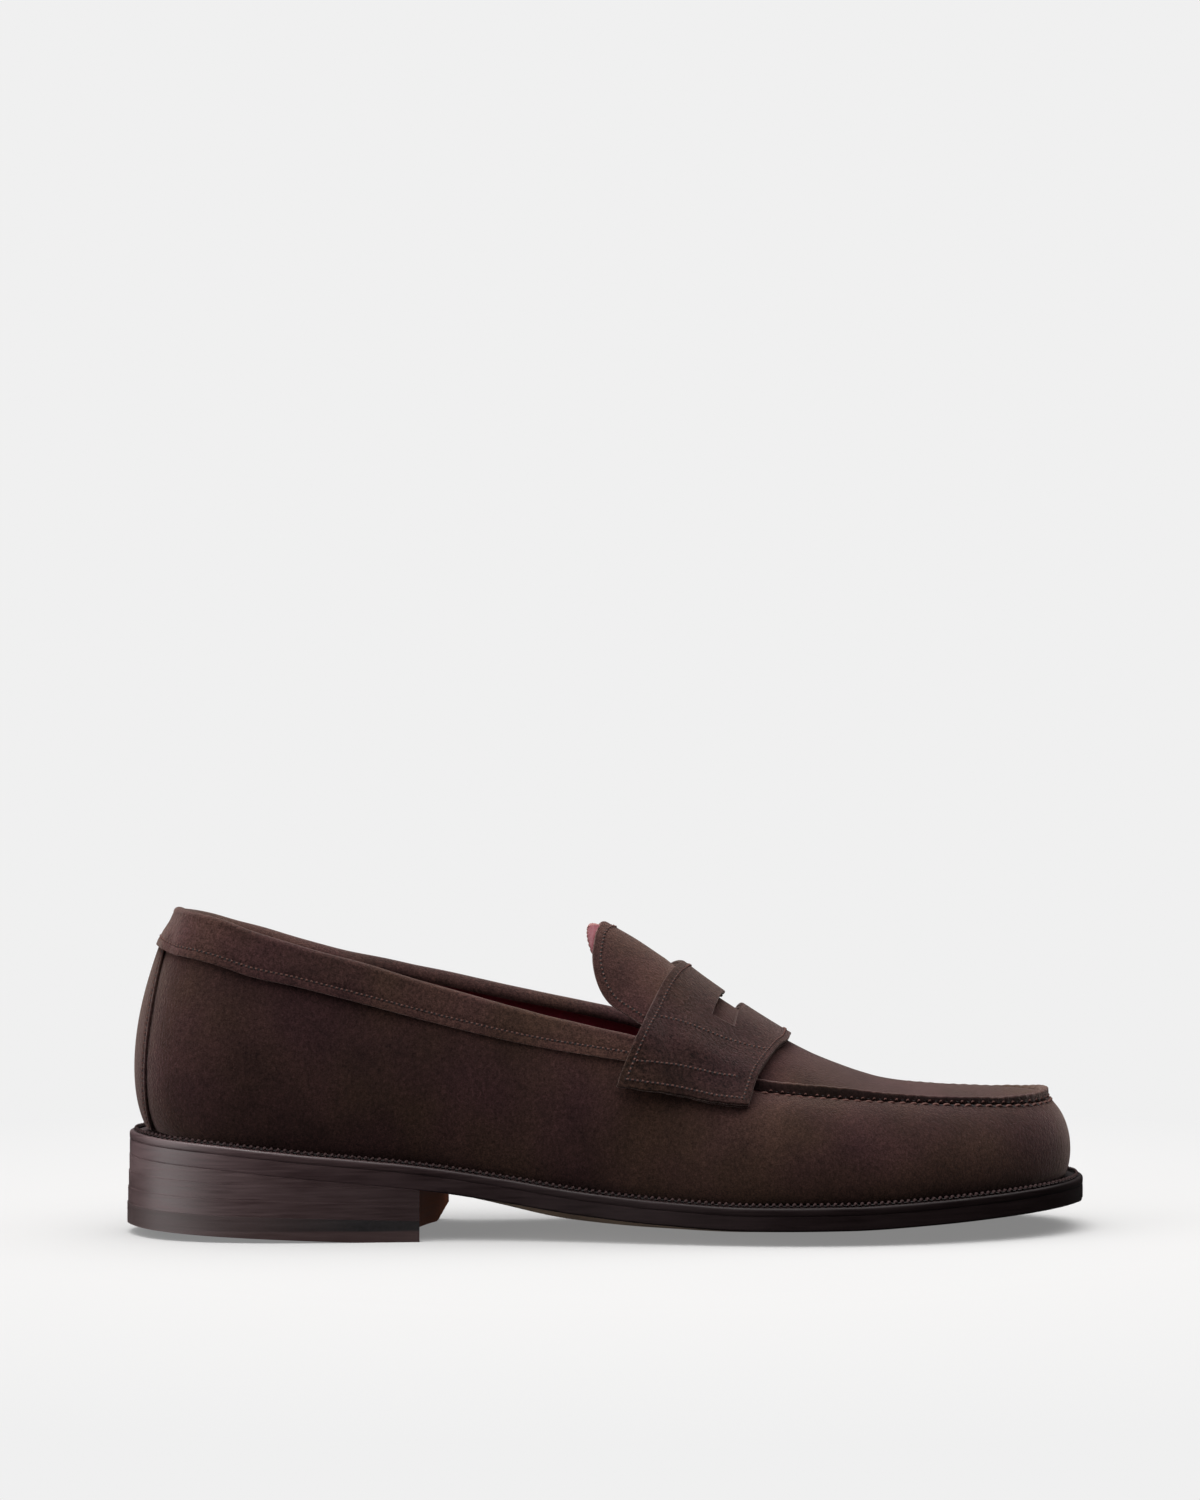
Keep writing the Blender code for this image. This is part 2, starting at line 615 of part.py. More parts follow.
def make_sole(looks):
    bottom = plate_grid(0.0, lambda x, y, v: outsole_bottom(x, v), rows=34)
    top = plate_grid(0.0, lambda x, y, v: outsole_top(x, v), rows=34)
    sheet_solid("outsole", top, bottom, looks["outsole"], caps=(False, False))

    def welt_section(u):
        corners = ((0.0, -WELT_THICK), (WELT_WIDTH, -WELT_THICK), (WELT_WIDTH, 0), (0.0, 0))
        return [band_point(u, inset, above) for inset, above in corners]

    ring_solid("welt", STATIONS, welt_section, looks["edge"])

    rib_out = WELT_WIDTH + GAP
    rib_in = rib_out + RIB_WIDTH

    def rib_section(u):
        corners = ((rib_out, -WELT_THICK), (rib_in, -WELT_THICK), (rib_in, 0), (rib_out, 0))
        return [band_point(u, inset, above) for inset, above in corners]

    ring_solid("insole_rib", STATIONS, rib_section, looks["canvas"])

    body = float(FOOT_IN(0)) + SUEDE + STIFFENER + LINING + 4 * GAP
    insole_low = plate_grid(body, lambda x, y, v: WELT_TOP(x) + GAP, columns=4)
    insole_high = plate_grid(body, lambda x, y, v: WELT_TOP(x) + GAP + INSOLE_THICK, columns=4)
    sheet_solid("insole", insole_high, insole_low, looks["tan"], caps=(False, False))

    sock_low = plate_grid(body + 0.5, lambda x, y, v: WELT_TOP(x) + 2 * GAP + INSOLE_THICK, columns=4)
    sock_high = sock_low + np.array([0, 0, SOCK_THICK])
    sheet_solid("sock_lining", sock_high, sock_low, looks["lining"], caps=(False, False))

    cork_inset = rib_in + GAP
    span = {"start": CORK["start"], "end": CORK["end"], "rows": 12, "columns": 6}
    cork_low = plate_grid(cork_inset, lambda x, y, v: outsole_top(x, v, cork_inset) + 2 * GAP, **span)
    cork_high = plate_grid(cork_inset, lambda x, y, v: WELT_TOP(x), **span)
    sheet_solid("cork_filler", cork_high, cork_low, looks["cork"])

    xs = np.linspace(SHANK["start"], SHANK["end"], 11)
    middle = [sum(float(plan(u_where(s, x))[0][1]) for s in ("lateral", "medial")) / 2 for x in xs]
    ys = np.array([[m - SHANK["width"] / 2, m + SHANK["width"] / 2] for m in middle])
    z = WELT_TOP(xs) - 0.4
    top = np.array([[(x, y, h) for y in row] for x, row, h in zip(xs, ys, z)])
    sheet_solid("shank", top, top - np.array([0, 0, SHANK["thick"]]), looks["steel"])


def rear_stations(x):
    """The shared stations round the back of the shoe, from x on the outer side to x on the inner side."""
    start, end = u_where("lateral", x), u_where("medial", x)
    outer_side = [u for u in STATIONS[::-1] if NEAREST < u < start - NEAREST]
    inner_side = [u for u in STATIONS[::-1] if end + NEAREST < u < 1 - NEAREST]
    return np.array([start, *outer_side, 0.0, *inner_side, end])


def front_stations(x):
    """The shared stations round the toe, from x on the outer side to x on the inner side."""
    start, end = u_where("lateral", x), u_where("medial", x)
    middle = [u for u in STATIONS if start + NEAREST < u < end - NEAREST]
    return np.array([start, *middle, end])


def skirt_top(us):
    """The t of the skirt's top edge: under the collar's turned edge behind, at the apron's seam in front."""
    x = plan(us)[0][:, 0]
    return height_share(us, np.interp(x, (8, 17), (2.2, 0.0)))


def wall_sheet(name, us, lines, depth, thick, look, trim=(0.02, 0.0)):
    """Part of the side wall as a sheet. It spans lines, the first and last of LINES; trim moves its edges."""
    shares = np.array(LINES[lines[0] : lines[1] + 1])[None, :]
    t = shares * skirt_top(us)[:, None]
    t[:, 0] += trim[0]
    t[:, -1] -= trim[1]
    depth = np.broadcast_to(depth, us.shape)[:, None]
    return sheet_solid(name, wall(us[:, None], t, depth), wall(us[:, None], t, depth + thick), look)


def lining_depth(us):
    """The lining steps inwards where the counter and the toe puff lie behind it."""
    x = plan(us)[0][:, 0]
    packed = SUEDE + STIFFENER + 2 * GAP
    loose = SUEDE + 2.4 * GAP
    return np.interp(x, (-95, -65, 80, 100), (packed, loose, loose, packed))


def make_upper(looks):
    """The one-piece skirt, its linings and stiffeners, and the back strip."""
    slit = 0.0006
    us = np.concatenate([[slit], STATIONS[1:], [1 - slit]])
    wall_sheet("skirt", us, (0, 9), 0.0, SUEDE, looks["suede"], trim=(0, 0))
    us = rear_stations(16)
    wall_sheet("quarter_lining", us, (0, 9), lining_depth(us), LINING, looks["lining"])
    us = front_stations(17.5)
    wall_sheet("vamp_lining", us, (0, 9), lining_depth(us), LINING, looks["lining"], trim=(0.02, 0.05))
    depth = SUEDE + GAP
    us = rear_stations(COUNTER_START)
    wall_sheet("heel_counter", us, (0, 6), depth, STIFFENER, looks["board"])
    us = front_stations(TOE_PUFF_START)
    wall_sheet("toe_puff", us, (0, 8), depth, STIFFENER, looks["board"])
    wide = BACK_STRIP_REACH
    us = np.concatenate([[wide], STATIONS[(STATIONS > 0.002) & (STATIONS < wide - 0.002)][::-1], [0]])
    us = np.concatenate([us, 1 - us[-2::-1]])
    wall_sheet("back_strip", us, (0, 8), -GAP - BINDING, BINDING, looks["suede"], trim=(0.035, 0))
    make_collar(looks["suede"])


def make_collar(look):
    """The binding round the opening: a band outside, over the top, and turned in over the lining."""
    us = rear_stations(COLLAR_END)
    inside = lining_depth(us) + LINING + 2.7 * GAP
    skins = ([], [])
    for skin, grow in zip(skins, (BINDING, 0.0)):
        for u, d in zip(us, inside):
            out = GAP + BACK_STRIP_BULK * float(np.interp(min(u, 1 - u), (0.025, 0.034), (1, 0)))
            band = float(COLLAR_BAND(plan(u)[0][0]))
            below = (band, band * 0.66, band * 0.33, 1.6)
            line = [wall(u, height_share(u, b)[0], -out - grow) for b in below]
            crown = wall(u, 1.0, (d - out) / 2)
            crown[2] = wall(u, 1.0)[2] - 0.9 + grow * 1.1
            line.append(crown)
            line += [wall(u, height_share(u, b)[0], d + grow) for b in (1.6, COLLAR_TURN_IN)]
            skin.append(line)
    sheet_solid("collar_binding", np.array(skins[0]), np.array(skins[1]), look)


def apron_edges(x, inward, up):
    return [rim_point(side, x, inward, up) for side in ("lateral", "medial")]


def apron_stations(start, end, count):
    """Stations that crowd towards the tip, where the edge turns."""
    share = np.linspace(0, 1, count + 1)
    return start + (end - start) * np.sin(share * math.pi / 2)


def make_apron(looks):
    """The apron, with the upstanding rim that its hand-sewn seam makes, and the lining under it."""
    xs = apron_stations(APRON_REAR, TIP_X, 22)
    outer, inner = [], []
    for x in xs:
        rise = float(RIM_HEIGHT(x))
        rim = [(0.0, GAP), (0.1, rise), (RIM_WIDTH, rise), (RIM_WIDTH + 0.7, rise - 1.3)]
        underside = [(1.7, GAP), (1.9, GAP + 0.1), (2.6, GAP + 0.1), (RIM_WIDTH + 1.0, 0.2)]
        top_edges = [apron_edges(x, *p) for p in rim]
        low_edges = [apron_edges(x, *p) for p in underside]
        surface = across_instep(x, [e.copy() for e in top_edges[-1]], 5)
        lowered = across_instep(x, [e.copy() for e in low_edges[-1]], 5)
        drop = np.linspace(0, 1, 6)
        drop = np.concatenate([drop, drop[-2::-1]])
        lowered[:, 2] = np.minimum(lowered[:, 2], surface[:, 2] - SUEDE)
        lowered[:, 2] -= 0.2 * drop
        outer.append(np.vstack([[e[0] for e in top_edges[:-1]], surface, [e[1] for e in top_edges[:-1]][::-1]]))
        inner.append(np.vstack([[e[0] for e in low_edges[:-1]], lowered, [e[1] for e in low_edges[:-1]][::-1]]))
    outer, inner = np.array(outer), np.array(inner)
    sheet_solid("apron", outer, inner, looks["suede"], caps=(True, False))
    lined = inner[:, 4:-4]
    top = lined - np.array([0, 0, 2 * GAP])
    sheet_solid("apron_lining", top, top - np.array([0, 0, LINING]), looks["lining"], caps=(True, False))


def tongue_edges(x):
    return [np.array([x, e["y"](x), e["z"](x)], float) for e in (TONGUE_EDGE_LATERAL, TONGUE_EDGE_MEDIAL)]


def tongue_grid(front, rear, half_count=7, rows=7, narrow=0.0):
    """The tongue's outer surface from front(v) to rear(v), v running from -1 to 1 across it."""
    count = 2 * half_count
    grid = np.zeros((rows + 1, count + 1, 3))
    for j in range(count + 1):
        v = 2 * j / count - 1
        for i in range(rows + 1):
            x = front(abs(v)) + (rear(abs(v)) - front(abs(v))) * i / rows
            section = across_instep(x, tongue_edges(x), 30)
            place = (v * (1 - narrow) + 1) / 2 * (len(section) - 1)
            k = min(int(place), len(section) - 2)
            grid[i, j] = section[k] + (section[k + 1] - section[k]) * (place - k)
    return grid


def tongue_rear(v):
    """The tongue's rear edge, with its corners rounded off."""
    beyond = max(0.0, (v - 0.62) / 0.38)
    return TONGUE_REAR - 4.6 * v + TONGUE_CORNER * (1 - math.sqrt(max(0.0, 1 - beyond * beyond)))


def tongue_lining_rear(v):
    """The lining shows beyond the suede part of the way down each side."""
    return tongue_rear(v) + 2.0 - 4.0 * max(0.0, 1 - ((v - 0.45) / 0.4) ** 2)


def tongue_front(v):
    """The tongue bends up along the saddle's rear edge, which slopes back down the sides."""
    return TONGUE_FRONT - TONGUE_SET_BACK * v**1.15


def make_tongue(looks, hinge):
    """The free flap of the tongue, its lining, and the root that is sewn down under the saddle."""
    grid = tongue_grid(tongue_front, tongue_rear)
    sheet_solid("tongue", grid, offset_grid(grid, SUEDE), looks["suede"], parent=hinge)
    grid = tongue_grid(tongue_front, tongue_lining_rear, narrow=0.04)
    low = offset_grid(grid, SUEDE + GAP)
    sheet_solid("tongue_lining", low, offset_grid(grid, SUEDE + GAP + LINING), looks["lining"], parent=hinge)
    grid = tongue_grid(lambda v: APRON_REAR - 0.4, lambda v: tongue_front(v) + TONGUE_CLEARANCE, rows=4)
    sheet_solid("tongue_root", offset_grid(grid, 2 * GAP), offset_grid(grid, 2 * GAP + SUEDE), looks["suede"])


def upper_hull(points):
    """The taut line over a set of (y, z) points, from the lowest on one side to the lowest on the other."""
    order = points[np.argsort(points[:, 0])]
    chain = []
    for p in order:
        while len(chain) > 1:
            a, b = chain[-2], chain[-1]
            if (b[0] - a[0]) * (p[1] - a[1]) - (b[1] - a[1]) * (p[0] - a[0]) >= 0:
                chain.pop()
            else:
                break
        chain.append(p)
    return np.array(chain)


def wall_at(side, x, ts, depth):
    """The wall's (y, z) in the plane at x, for several t."""
    u = np.full(len(ts), u_where(side, x))
    for _ in range(4):
        u = u_where(side, x - (wall(u, ts, depth)[:, 0] - plan(u)[0][:, 0]))
    return wall(u, ts, depth)[:, 1:]


def saddle_line(x):
    """What lies under the saddle at x, as a taut line from its outer end over the instep to its inner end."""
    over_collar = float(np.interp(x, (13, 20), (GAP + BINDING, 0.0)))
    over_apron = float(np.interp(x, (14, 26), (0.0, 1.0)))
    rim = float(RIM_HEIGHT(max(x, 24.0))) * over_apron
    points = []
    for side in ("lateral", "medial"):
        u = u_where(side, x, top=True)
        ts = np.linspace(float(height_share(u, SADDLE_DROP(x))[0]), 1.0, 12)
        points.append(wall_at(side, x, ts, -over_collar))
        points.append([rim_point(side, x, i, rim)[1:] for i in (0, RIM_WIDTH)])
    edges = [
        tongue * (1 - over_apron) + apron * over_apron
        for tongue, apron in zip(tongue_edges(x), apron_edges(x, RIM_WIDTH + 0.7, rim - 1.3 * over_apron))
    ]
    points.append(across_instep(x, edges, 12)[:, 1:])
    return upper_hull(np.vstack(points))


SADDLE_DROP = smooth([(2, 17.8), (15, 16.8), (30, 13.0), (44, 10.0), (58, 8.6)])


def saddle_grid(half_count=12):
    """Points where the saddle rests: rows from its rear edge to its front edge, columns from end to end."""
    rear, front = smooth(SADDLE_REAR), smooth(SADDLE_FRONT)
    slot = {0.36: smooth(SLOT_REAR), 0.55: smooth(SLOT_FRONT)}
    split = np.array([0, 0.12, 0.24, 0.36, 0.55, 0.7, 0.85, 1.0])
    columns = np.linspace(-1, 1, 2 * half_count + 1)
    grid = np.zeros((len(split), len(columns), 3))
    for j, a in enumerate(columns):
        for i, p in enumerate(split):
            x = float(rear(abs(a)) + (front(abs(a)) - rear(abs(a))) * p)
            if abs(a) < 0.35 and p in slot:
                x = float(slot[p](abs(a)))
            line = saddle_line(x)
            run = np.concatenate([[0], np.cumsum(np.linalg.norm(np.diff(line, axis=0), axis=1))])
            top = run[np.argmax(line[:, 1])]
            at = top * (1 + a) if a < 0 else top + (run[-1] - top) * a
            grid[i, j] = (x, np.interp(at, run, line[:, 0]), np.interp(at, run, line[:, 1]))
    return grid


def make_saddle(looks):
    """The saddle strap with its penny slot, on a backing of the same outline."""
    resting = saddle_grid()
    heights = np.cumsum([SADDLE_CLEARANCE, SADDLE_BACKING, GAP, SADDLE_LEATHER])
    levels = [offset_grid(resting, -h) for h in heights]
    middle = levels[0].shape[1] // 2
    hole = (3, 4, middle - 4, middle + 4)
    sheet_solid("saddle_backing", levels[1], levels[0], looks["suede"], hole=hole)
    sheet_solid("saddle_strap", levels[3], levels[2], looks["suede"], hole=hole)


def make_threads(look):
    """The rows of stitching that hold welt to outsole and apron to skirt, each as one continuous thread."""
    radius = 0.4
    corners = ((-radius, 0), (0, -radius), (radius, 0), (0, radius))

    def diamond(u):
        return [band_point(u, 2.7 + i, radius + 0.15 + h) for i, h in corners]

    ring_solid("welt_thread", STATIONS, diamond, look)
    us = front_stations(SEAM_START)
    centre = wall(us, height_share(us, 0.9), -radius - 0.15)
    n = np.column_stack([plan(us)[1], np.zeros(len(us))])
    up = np.array([0, 0, 1.0])
    front = np.array([[c + m * radius, c + up * radius] for c, m in zip(centre, n)])
    back = np.array([[c - up * radius, c - m * radius] for c, m in zip(centre, n)])
    sheet_solid("apron_thread", front, back, look)


def main():
    for obj in list(bpy.data.objects):
        bpy.data.objects.remove(obj)
    looks = {
        "suede": material("suede", SUEDE_BROWN, 0.95),
        "lining": material("lining", BURGUNDY, 0.55),
        "edge": material("welt_edge", EDGE_BROWN, 0.4),
        "outsole": material("sole_leather", TAN, 0.5),
        "tan": material("insole_leather", TAN, 0.7),
        "stack": material("heel_stack", EDGE_BROWN, 0.45),
        "rubber": material("top_piece", (0.05, 0.036, 0.038), 0.6),
        "board": material("fibre_board", (0.45, 0.36, 0.26), 0.8),
        "cork": material("cork", (0.35, 0.22, 0.12), 0.9),
        "canvas": material("canvas", (0.7, 0.66, 0.56), 0.9),
        "steel": material("steel", (0.5, 0.5, 0.52), 0.35, 1.0),
        "brass": material("brass", (0.75, 0.55, 0.25), 0.35, 1.0),
        "thread": material("thread", (0.13, 0.07, 0.06), 0.7),
    }
    hinge = bpy.data.objects.new("tongue_hinge", None)
    hinge.location = (TONGUE_FRONT * MM, 0, float(CREST_Z(TONGUE_FRONT)) * MM)
    bpy.context.scene.collection.objects.link(hinge)
    bpy.context.view_layer.update()
    make_sole(looks)
    make_heel(looks)
    make_upper(looks)
    make_apron(looks)
    make_tongue(looks, hinge)
    make_saddle(looks)
    make_threads(looks["thread"])


main()
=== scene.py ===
"""The looks of the penny loafer: napped suede, cut edges, stitching, burnished sole and heel, smooth lining.

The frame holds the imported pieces. Each visible one is rebuilt here finely on the same curves, in
millimetres, and takes the place of its plain solid. The pieces inside the shoe keep their solids and get
their materials here.
"""

import math

import bmesh
import bpy
import numpy as np
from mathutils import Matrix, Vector, noise


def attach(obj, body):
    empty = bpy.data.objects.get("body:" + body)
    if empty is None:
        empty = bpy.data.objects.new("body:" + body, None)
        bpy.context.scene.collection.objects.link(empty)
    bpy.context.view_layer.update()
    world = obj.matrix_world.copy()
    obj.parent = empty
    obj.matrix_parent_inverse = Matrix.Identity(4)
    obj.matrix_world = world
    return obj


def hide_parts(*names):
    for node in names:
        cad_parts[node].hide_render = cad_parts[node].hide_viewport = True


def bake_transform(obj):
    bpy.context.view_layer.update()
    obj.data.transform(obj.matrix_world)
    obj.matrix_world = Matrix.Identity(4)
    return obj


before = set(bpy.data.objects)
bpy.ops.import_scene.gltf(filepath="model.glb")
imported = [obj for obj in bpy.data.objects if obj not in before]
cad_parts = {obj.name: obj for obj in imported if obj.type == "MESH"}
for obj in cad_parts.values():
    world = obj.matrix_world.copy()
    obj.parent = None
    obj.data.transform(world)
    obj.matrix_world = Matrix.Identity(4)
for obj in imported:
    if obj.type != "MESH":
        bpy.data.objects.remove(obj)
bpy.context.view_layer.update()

MM = 0.001
SIDES = ("lateral", "medial")
GAP = 0.3

WELT_WIDTH = 11.6
WELT_THICK = 2.7
SOLE_STACK = 7.5  # welt and outsole together, at the edge
INSOLE_THICK = 3.0
SOCK_THICK = 1.0
WELT_PITCH = 2.1  # of the wheeled ridges and the stitches between them

# Heel
BREAST_LATERAL = -58.5  # x of the heel's front corners
BREAST_MEDIAL = -51.5
BREAST_HOLLOW = 6.5  # how far the front face is hollowed back
TOP_PIECE = 6.4
LIFT = 4.7
HEEL_FLARE = 1.0
HEEL_TILT = 0.033  # rise of the lifts towards the back
WEDGE_START = -65.0
TREAD_FLAT_END = -78.0  # the tread is flat ahead of this and lifts behind it
TREAD_BACK_RISE = 3.2

# Upper leathers, as depths inwards from the outer surface of the skirt
SUEDE = 1.5
STIFFENER = 1.1
LINING = 0.9
BINDING = 0.9
COLLAR_END = 10.5
BACK_STRIP_BULK = 1.2  # how far the back strip pushes the collar out
SADDLE_BACKING = 0.7
SADDLE_CLEARANCE = 0.6
STRAP_FACE = 2.75  # height of the strap's outer face above what it lies on
BACK_ROW_INSET = 1.7  # of the stitches from the back strip's edges
COLLAR_ROW_INSET = 2.8  # of the stitches from the collar's lower edge
SEAM_PITCH = 3.6  # of the hand-sewn apron seam
SEAM_START = 45.0

# Apron and tongue
RIM_WIDTH = 2.1
APRON_REAR = 24.5
TONGUE_FRONT = 21.5
TONGUE_REAR = 0.0  # x of the tongue's rear edge on the centre line
TONGUE_CORNER = 8.0
TONGUE_SET_BACK = 12.0

# Saddle strap: x of its edges, against the share of the way from the crest of the instep to its ends
SADDLE_REAR = ((0, 22.4), (0.08, 21.3), (0.26, 17.7), (0.5, 12.9), (0.67, 9.8), (0.81, 6.7), (1, 2.6))
SADDLE_FRONT = ((0, 56.8), (0.23, 55.6), (0.36, 53.1), (0.6, 48.8), (0.75, 46.1), (1, 43))
SLOT = (0.36, 0.55, 0.38)  # its first and last share from rear to front, and its reach to each side
SLOT_REAR = ((0, 35.6), (0.38, 31.3))
SLOT_FRONT = ((0, 41.4), (0.38, 38.4))


def smooth(points):
    """A function through (x, value) points with no overshoot between them."""
    xs, ys = np.array(points, float).T
    step = np.diff(xs)
    slope = np.diff(ys) / step
    tangent = np.zeros(len(xs))
    tangent[0], tangent[-1] = slope[0], slope[-1]
    for i in range(1, len(xs) - 1):
        if slope[i - 1] * slope[i] > 0:
            before = 2 * step[i] + step[i - 1]
            after = step[i] + 2 * step[i - 1]
            tangent[i] = (before + after) / (before / slope[i - 1] + after / slope[i])

    def value(x):
        x = np.clip(x, xs[0], xs[-1])
        i = np.clip(np.searchsorted(xs, x) - 1, 0, len(step) - 1)
        t = (x - xs[i]) / step[i]
        s = 1 - t
        return (
            (1 + 2 * t) * s * s * ys[i]
            + t * s * s * step[i] * tangent[i]
            + t * t * (3 - 2 * t) * ys[i + 1]
            - t * t * s * step[i] * tangent[i + 1]
        )

    return value


def arc(points):
    """The length run so far at each point of a path."""
    return np.concatenate([[0], np.cumsum(np.linalg.norm(np.diff(points, axis=0), axis=1))])


def closed_curve(points, samples=960):
    """Evenly spaced points on a smooth closed curve, the first one again at its end, and outward normals."""
    p = np.array(points, float)
    n = len(p)
    chord = np.linalg.norm(np.roll(p, -1, 0) - p, axis=1)
    matrix = np.zeros((n, n))
    bend = np.zeros((n, 2))
    for i in range(n):
        before, after = chord[i - 1], chord[i]
        matrix[i, i - 1] += before
        matrix[i, i] += 2 * (before + after)
        matrix[i, (i + 1) % n] += after
        bend[i] = 6 * ((p[(i + 1) % n] - p[i]) / after - (p[i] - p[i - 1]) / before)
    second = np.linalg.solve(matrix, bend)
    dense = []
    for i in range(n):
        j, h = (i + 1) % n, chord[i]
        for s in np.linspace(0, h, 40, endpoint=False):
            dense.append(
                (second[i] * (h - s) ** 3 + second[j] * s**3) / (6 * h)
                + (p[i] / h - second[i] * h / 6) * (h - s)
                + (p[j] / h - second[j] * h / 6) * s
            )
    dense = np.array(dense + [dense[0]])
    run = arc(dense)
    even = np.linspace(0, run[-1], samples + 1)
    loop = np.stack([np.interp(even, run, dense[:, k]) for k in (0, 1)], 1)
    tangent = np.roll(loop[:-1], -1, 0) - np.roll(loop[:-1], 1, 0)
    tangent = np.vstack([tangent, tangent[:1]])
    tangent /= np.linalg.norm(tangent, axis=1)[:, None]
    return loop, np.stack([tangent[:, 1], -tangent[:, 0]], 1)


# Plan of the outsole: from the back of the heel along the outer side to the toe, and back on the inner side.
SOLE_PLAN = [
    (-151, -9), (-147.5, -22.5), (-139.5, -33), (-125, -40.3), (-104, -42.8), (-79, -41.2), (-54, -38.9),
    (-28, -39.5), (2, -44.6), (32, -50.6), (57, -53), (80, -51.2), (102, -45.6), (121, -37), (137, -25.5),
    (147.5, -11), (151, 6), (148.3, 21), (139.5, 33), (125, 42.3), (107, 49), (86, 52.7), (64, 52.6),
    (41, 47.4), (17, 37.4), (-8, 28), (-33, 23.4), (-58, 23), (-83, 25.2), (-106, 25.6), (-127, 22),
    (-140.5, 13.8), (-148.5, 3),
]
LOOP, NORMAL = closed_curve(SOLE_PLAN)
ROUND = np.linspace(0, 1, len(LOOP))
U_TOE = ROUND[np.argmax(LOOP[:, 0])]

# Heights along the shoe
WELT_TOP = smooth([
    (-151, 32.2), (-125, 30.3), (-95, 27.2), (-60, 23.6), (-33, 19.6), (-10, 16.0), (15, 13.5),
    (45, 12.0), (75, 12.2), (100, 13.3), (125, 14.8), (151, 16.6),
])
CAMBER = smooth([(-75, 0), (-45, 2.4), (-12, 4.8), (20, 4.6), (52, 4.4), (90, 3.4), (130, 2.0), (151, 1.5)])
TOP_Z_LATERAL = smooth([
    (-138, 102.8), (-128, 101.6), (-120, 99.6), (-111, 96.4), (-95.5, 91.6), (-77, 86.4), (-52, 78.9),
    (-27, 71.9), (-2.6, 66.3), (9.7, 63.6), (20, 60), (28, 55), (37, 49.6), (47, 45.9), (59, 44.5),
    (84, 42.6), (110, 41.2), (131, 40.4), (141, 40.8),
])
TOP_Z_MEDIAL = smooth([
    (-138, 102.8), (-128, 100.0), (-111, 94.8), (-86, 87.7), (-60, 82.2), (-35, 76.6), (-9, 70.9),
    (6, 67.3), (16, 63.5), (28, 56.5), (37, 50.6), (47, 46.3), (59, 44.2), (84, 41.9), (110, 40.6),
    (131, 40.2), (141, 40.8),
])
RIM_HEIGHT = smooth([(24, 3.0), (47, 3.9), (72, 3.8), (88, 2.9), (112, 2.4), (126, 2.6), (141, 3.4)])

COLLAR_BAND = smooth([
    (-151, 13.8), (-138, 15.0), (-114, 15.0), (-95, 13.6), (-70, 13), (-46, 12), (-21, 10.6), (4, 9),
    (14, 8.6),
])

# Shape of the side wall, by the outsole's x: how far its top leans in from its foot, and its bulges
FOOT_IN = smooth([(-151, 7), (-140, 6.2), (-120, 5.6), (151, 5.6)])
TOP_IN_LATERAL = smooth([
    (-151, 9.2), (-146, 8), (-138, 6.2), (-125, 4.8), (-100, 3.6), (-60, 1), (-20, 0.4), (4, 2), (16, 6.5),
    (26, 10.5), (40, 13), (60, 13.6), (85, 13.4), (105, 12), (125, 9.2), (141, 6.4), (151, 5.2),
])
TOP_IN_MEDIAL = smooth([
    (-151, 9.2), (-146, 8), (-138, 6.2), (-125, 4.8), (-100, 3.2), (-60, -0.6), (-20, -1.8), (4, 0.6),
    (16, 5.5), (26, 10), (40, 13), (60, 14), (85, 14), (105, 12.4), (125, 9.4), (141, 6.4), (151, 5.2),
])
FOOT_OUT = smooth([(-151, 8), (-125, 7), (-80, 6), (-20, 6), (20, 4.6), (60, 4), (110, 3.4), (151, 2.6)])
FOOT_UP = smooth([(-151, 0.19), (-60, 0.22), (60, 0.25), (151, 0.24)])
SHOULDER_OUT = smooth([
    (-151, 14.6), (-140, 11.6), (-125, 9.6), (-80, 6.2), (-40, 5), (0, 6), (20, 9), (40, 13.4), (60, 14.6),
    (100, 13.4), (125, 10.6), (151, 7.6),
])
SHOULDER_DOWN = smooth([
    (-151, 0.41), (-80, 0.35), (-20, 0.3), (20, 0.2), (45, 0.1), (100, 0.12), (125, 0.18), (151, 0.24),
])

# Crest of the instep, and the tongue's side edges
CREST_Z = smooth([
    (-8, 102.2), (-1, 97.6), (10, 91), (21.4, 83.3), (35, 73.3), (46, 66.1), (57.6, 59.0), (65, 55.2),
    (73.6, 51.7), (80, 49.4), (87, 47.4), (95, 46.1), (106, 45.0), (119, 44.1), (131, 43.6), (141, 43.4),
])
CREST_Y = smooth([(-8, -5), (12, -4.4), (28, -3.2), (47, -1), (60, 0), (84, 2), (110, 3.8), (141, 5.6)])
TONGUE_EDGES = (
    {
        "y": smooth([(-8, -24), (2, -26.5), (12, -29.3), (24.5, -32)]),
        "z": smooth([(-8, 78), (2, 71.9), (12, 65.8), (24.5, 59.4)]),
    },
    {
        "y": smooth([(-8, 14.5), (2, 17), (12, 20.5), (24.5, 26)]),
        "z": smooth([(-8, 80), (2, 74), (12, 68), (24.5, 61)]),
    },
)


def plan(u, inset=0.0):
    """Points on the outsole's outline at shares u of the way round, moved inwards by inset."""
    p = np.stack([np.interp(u, ROUND, LOOP[:, k]) for k in (0, 1)], -1)
    n = np.stack([np.interp(u, ROUND, NORMAL[:, k]) for k in (0, 1)], -1)
    n /= np.linalg.norm(n, axis=-1)[..., None]
    return p - n * np.asarray(inset, float)[..., None], n


def by_side(u, lateral, medial, x):
    return np.where(u < U_TOE, lateral(x), medial(x))


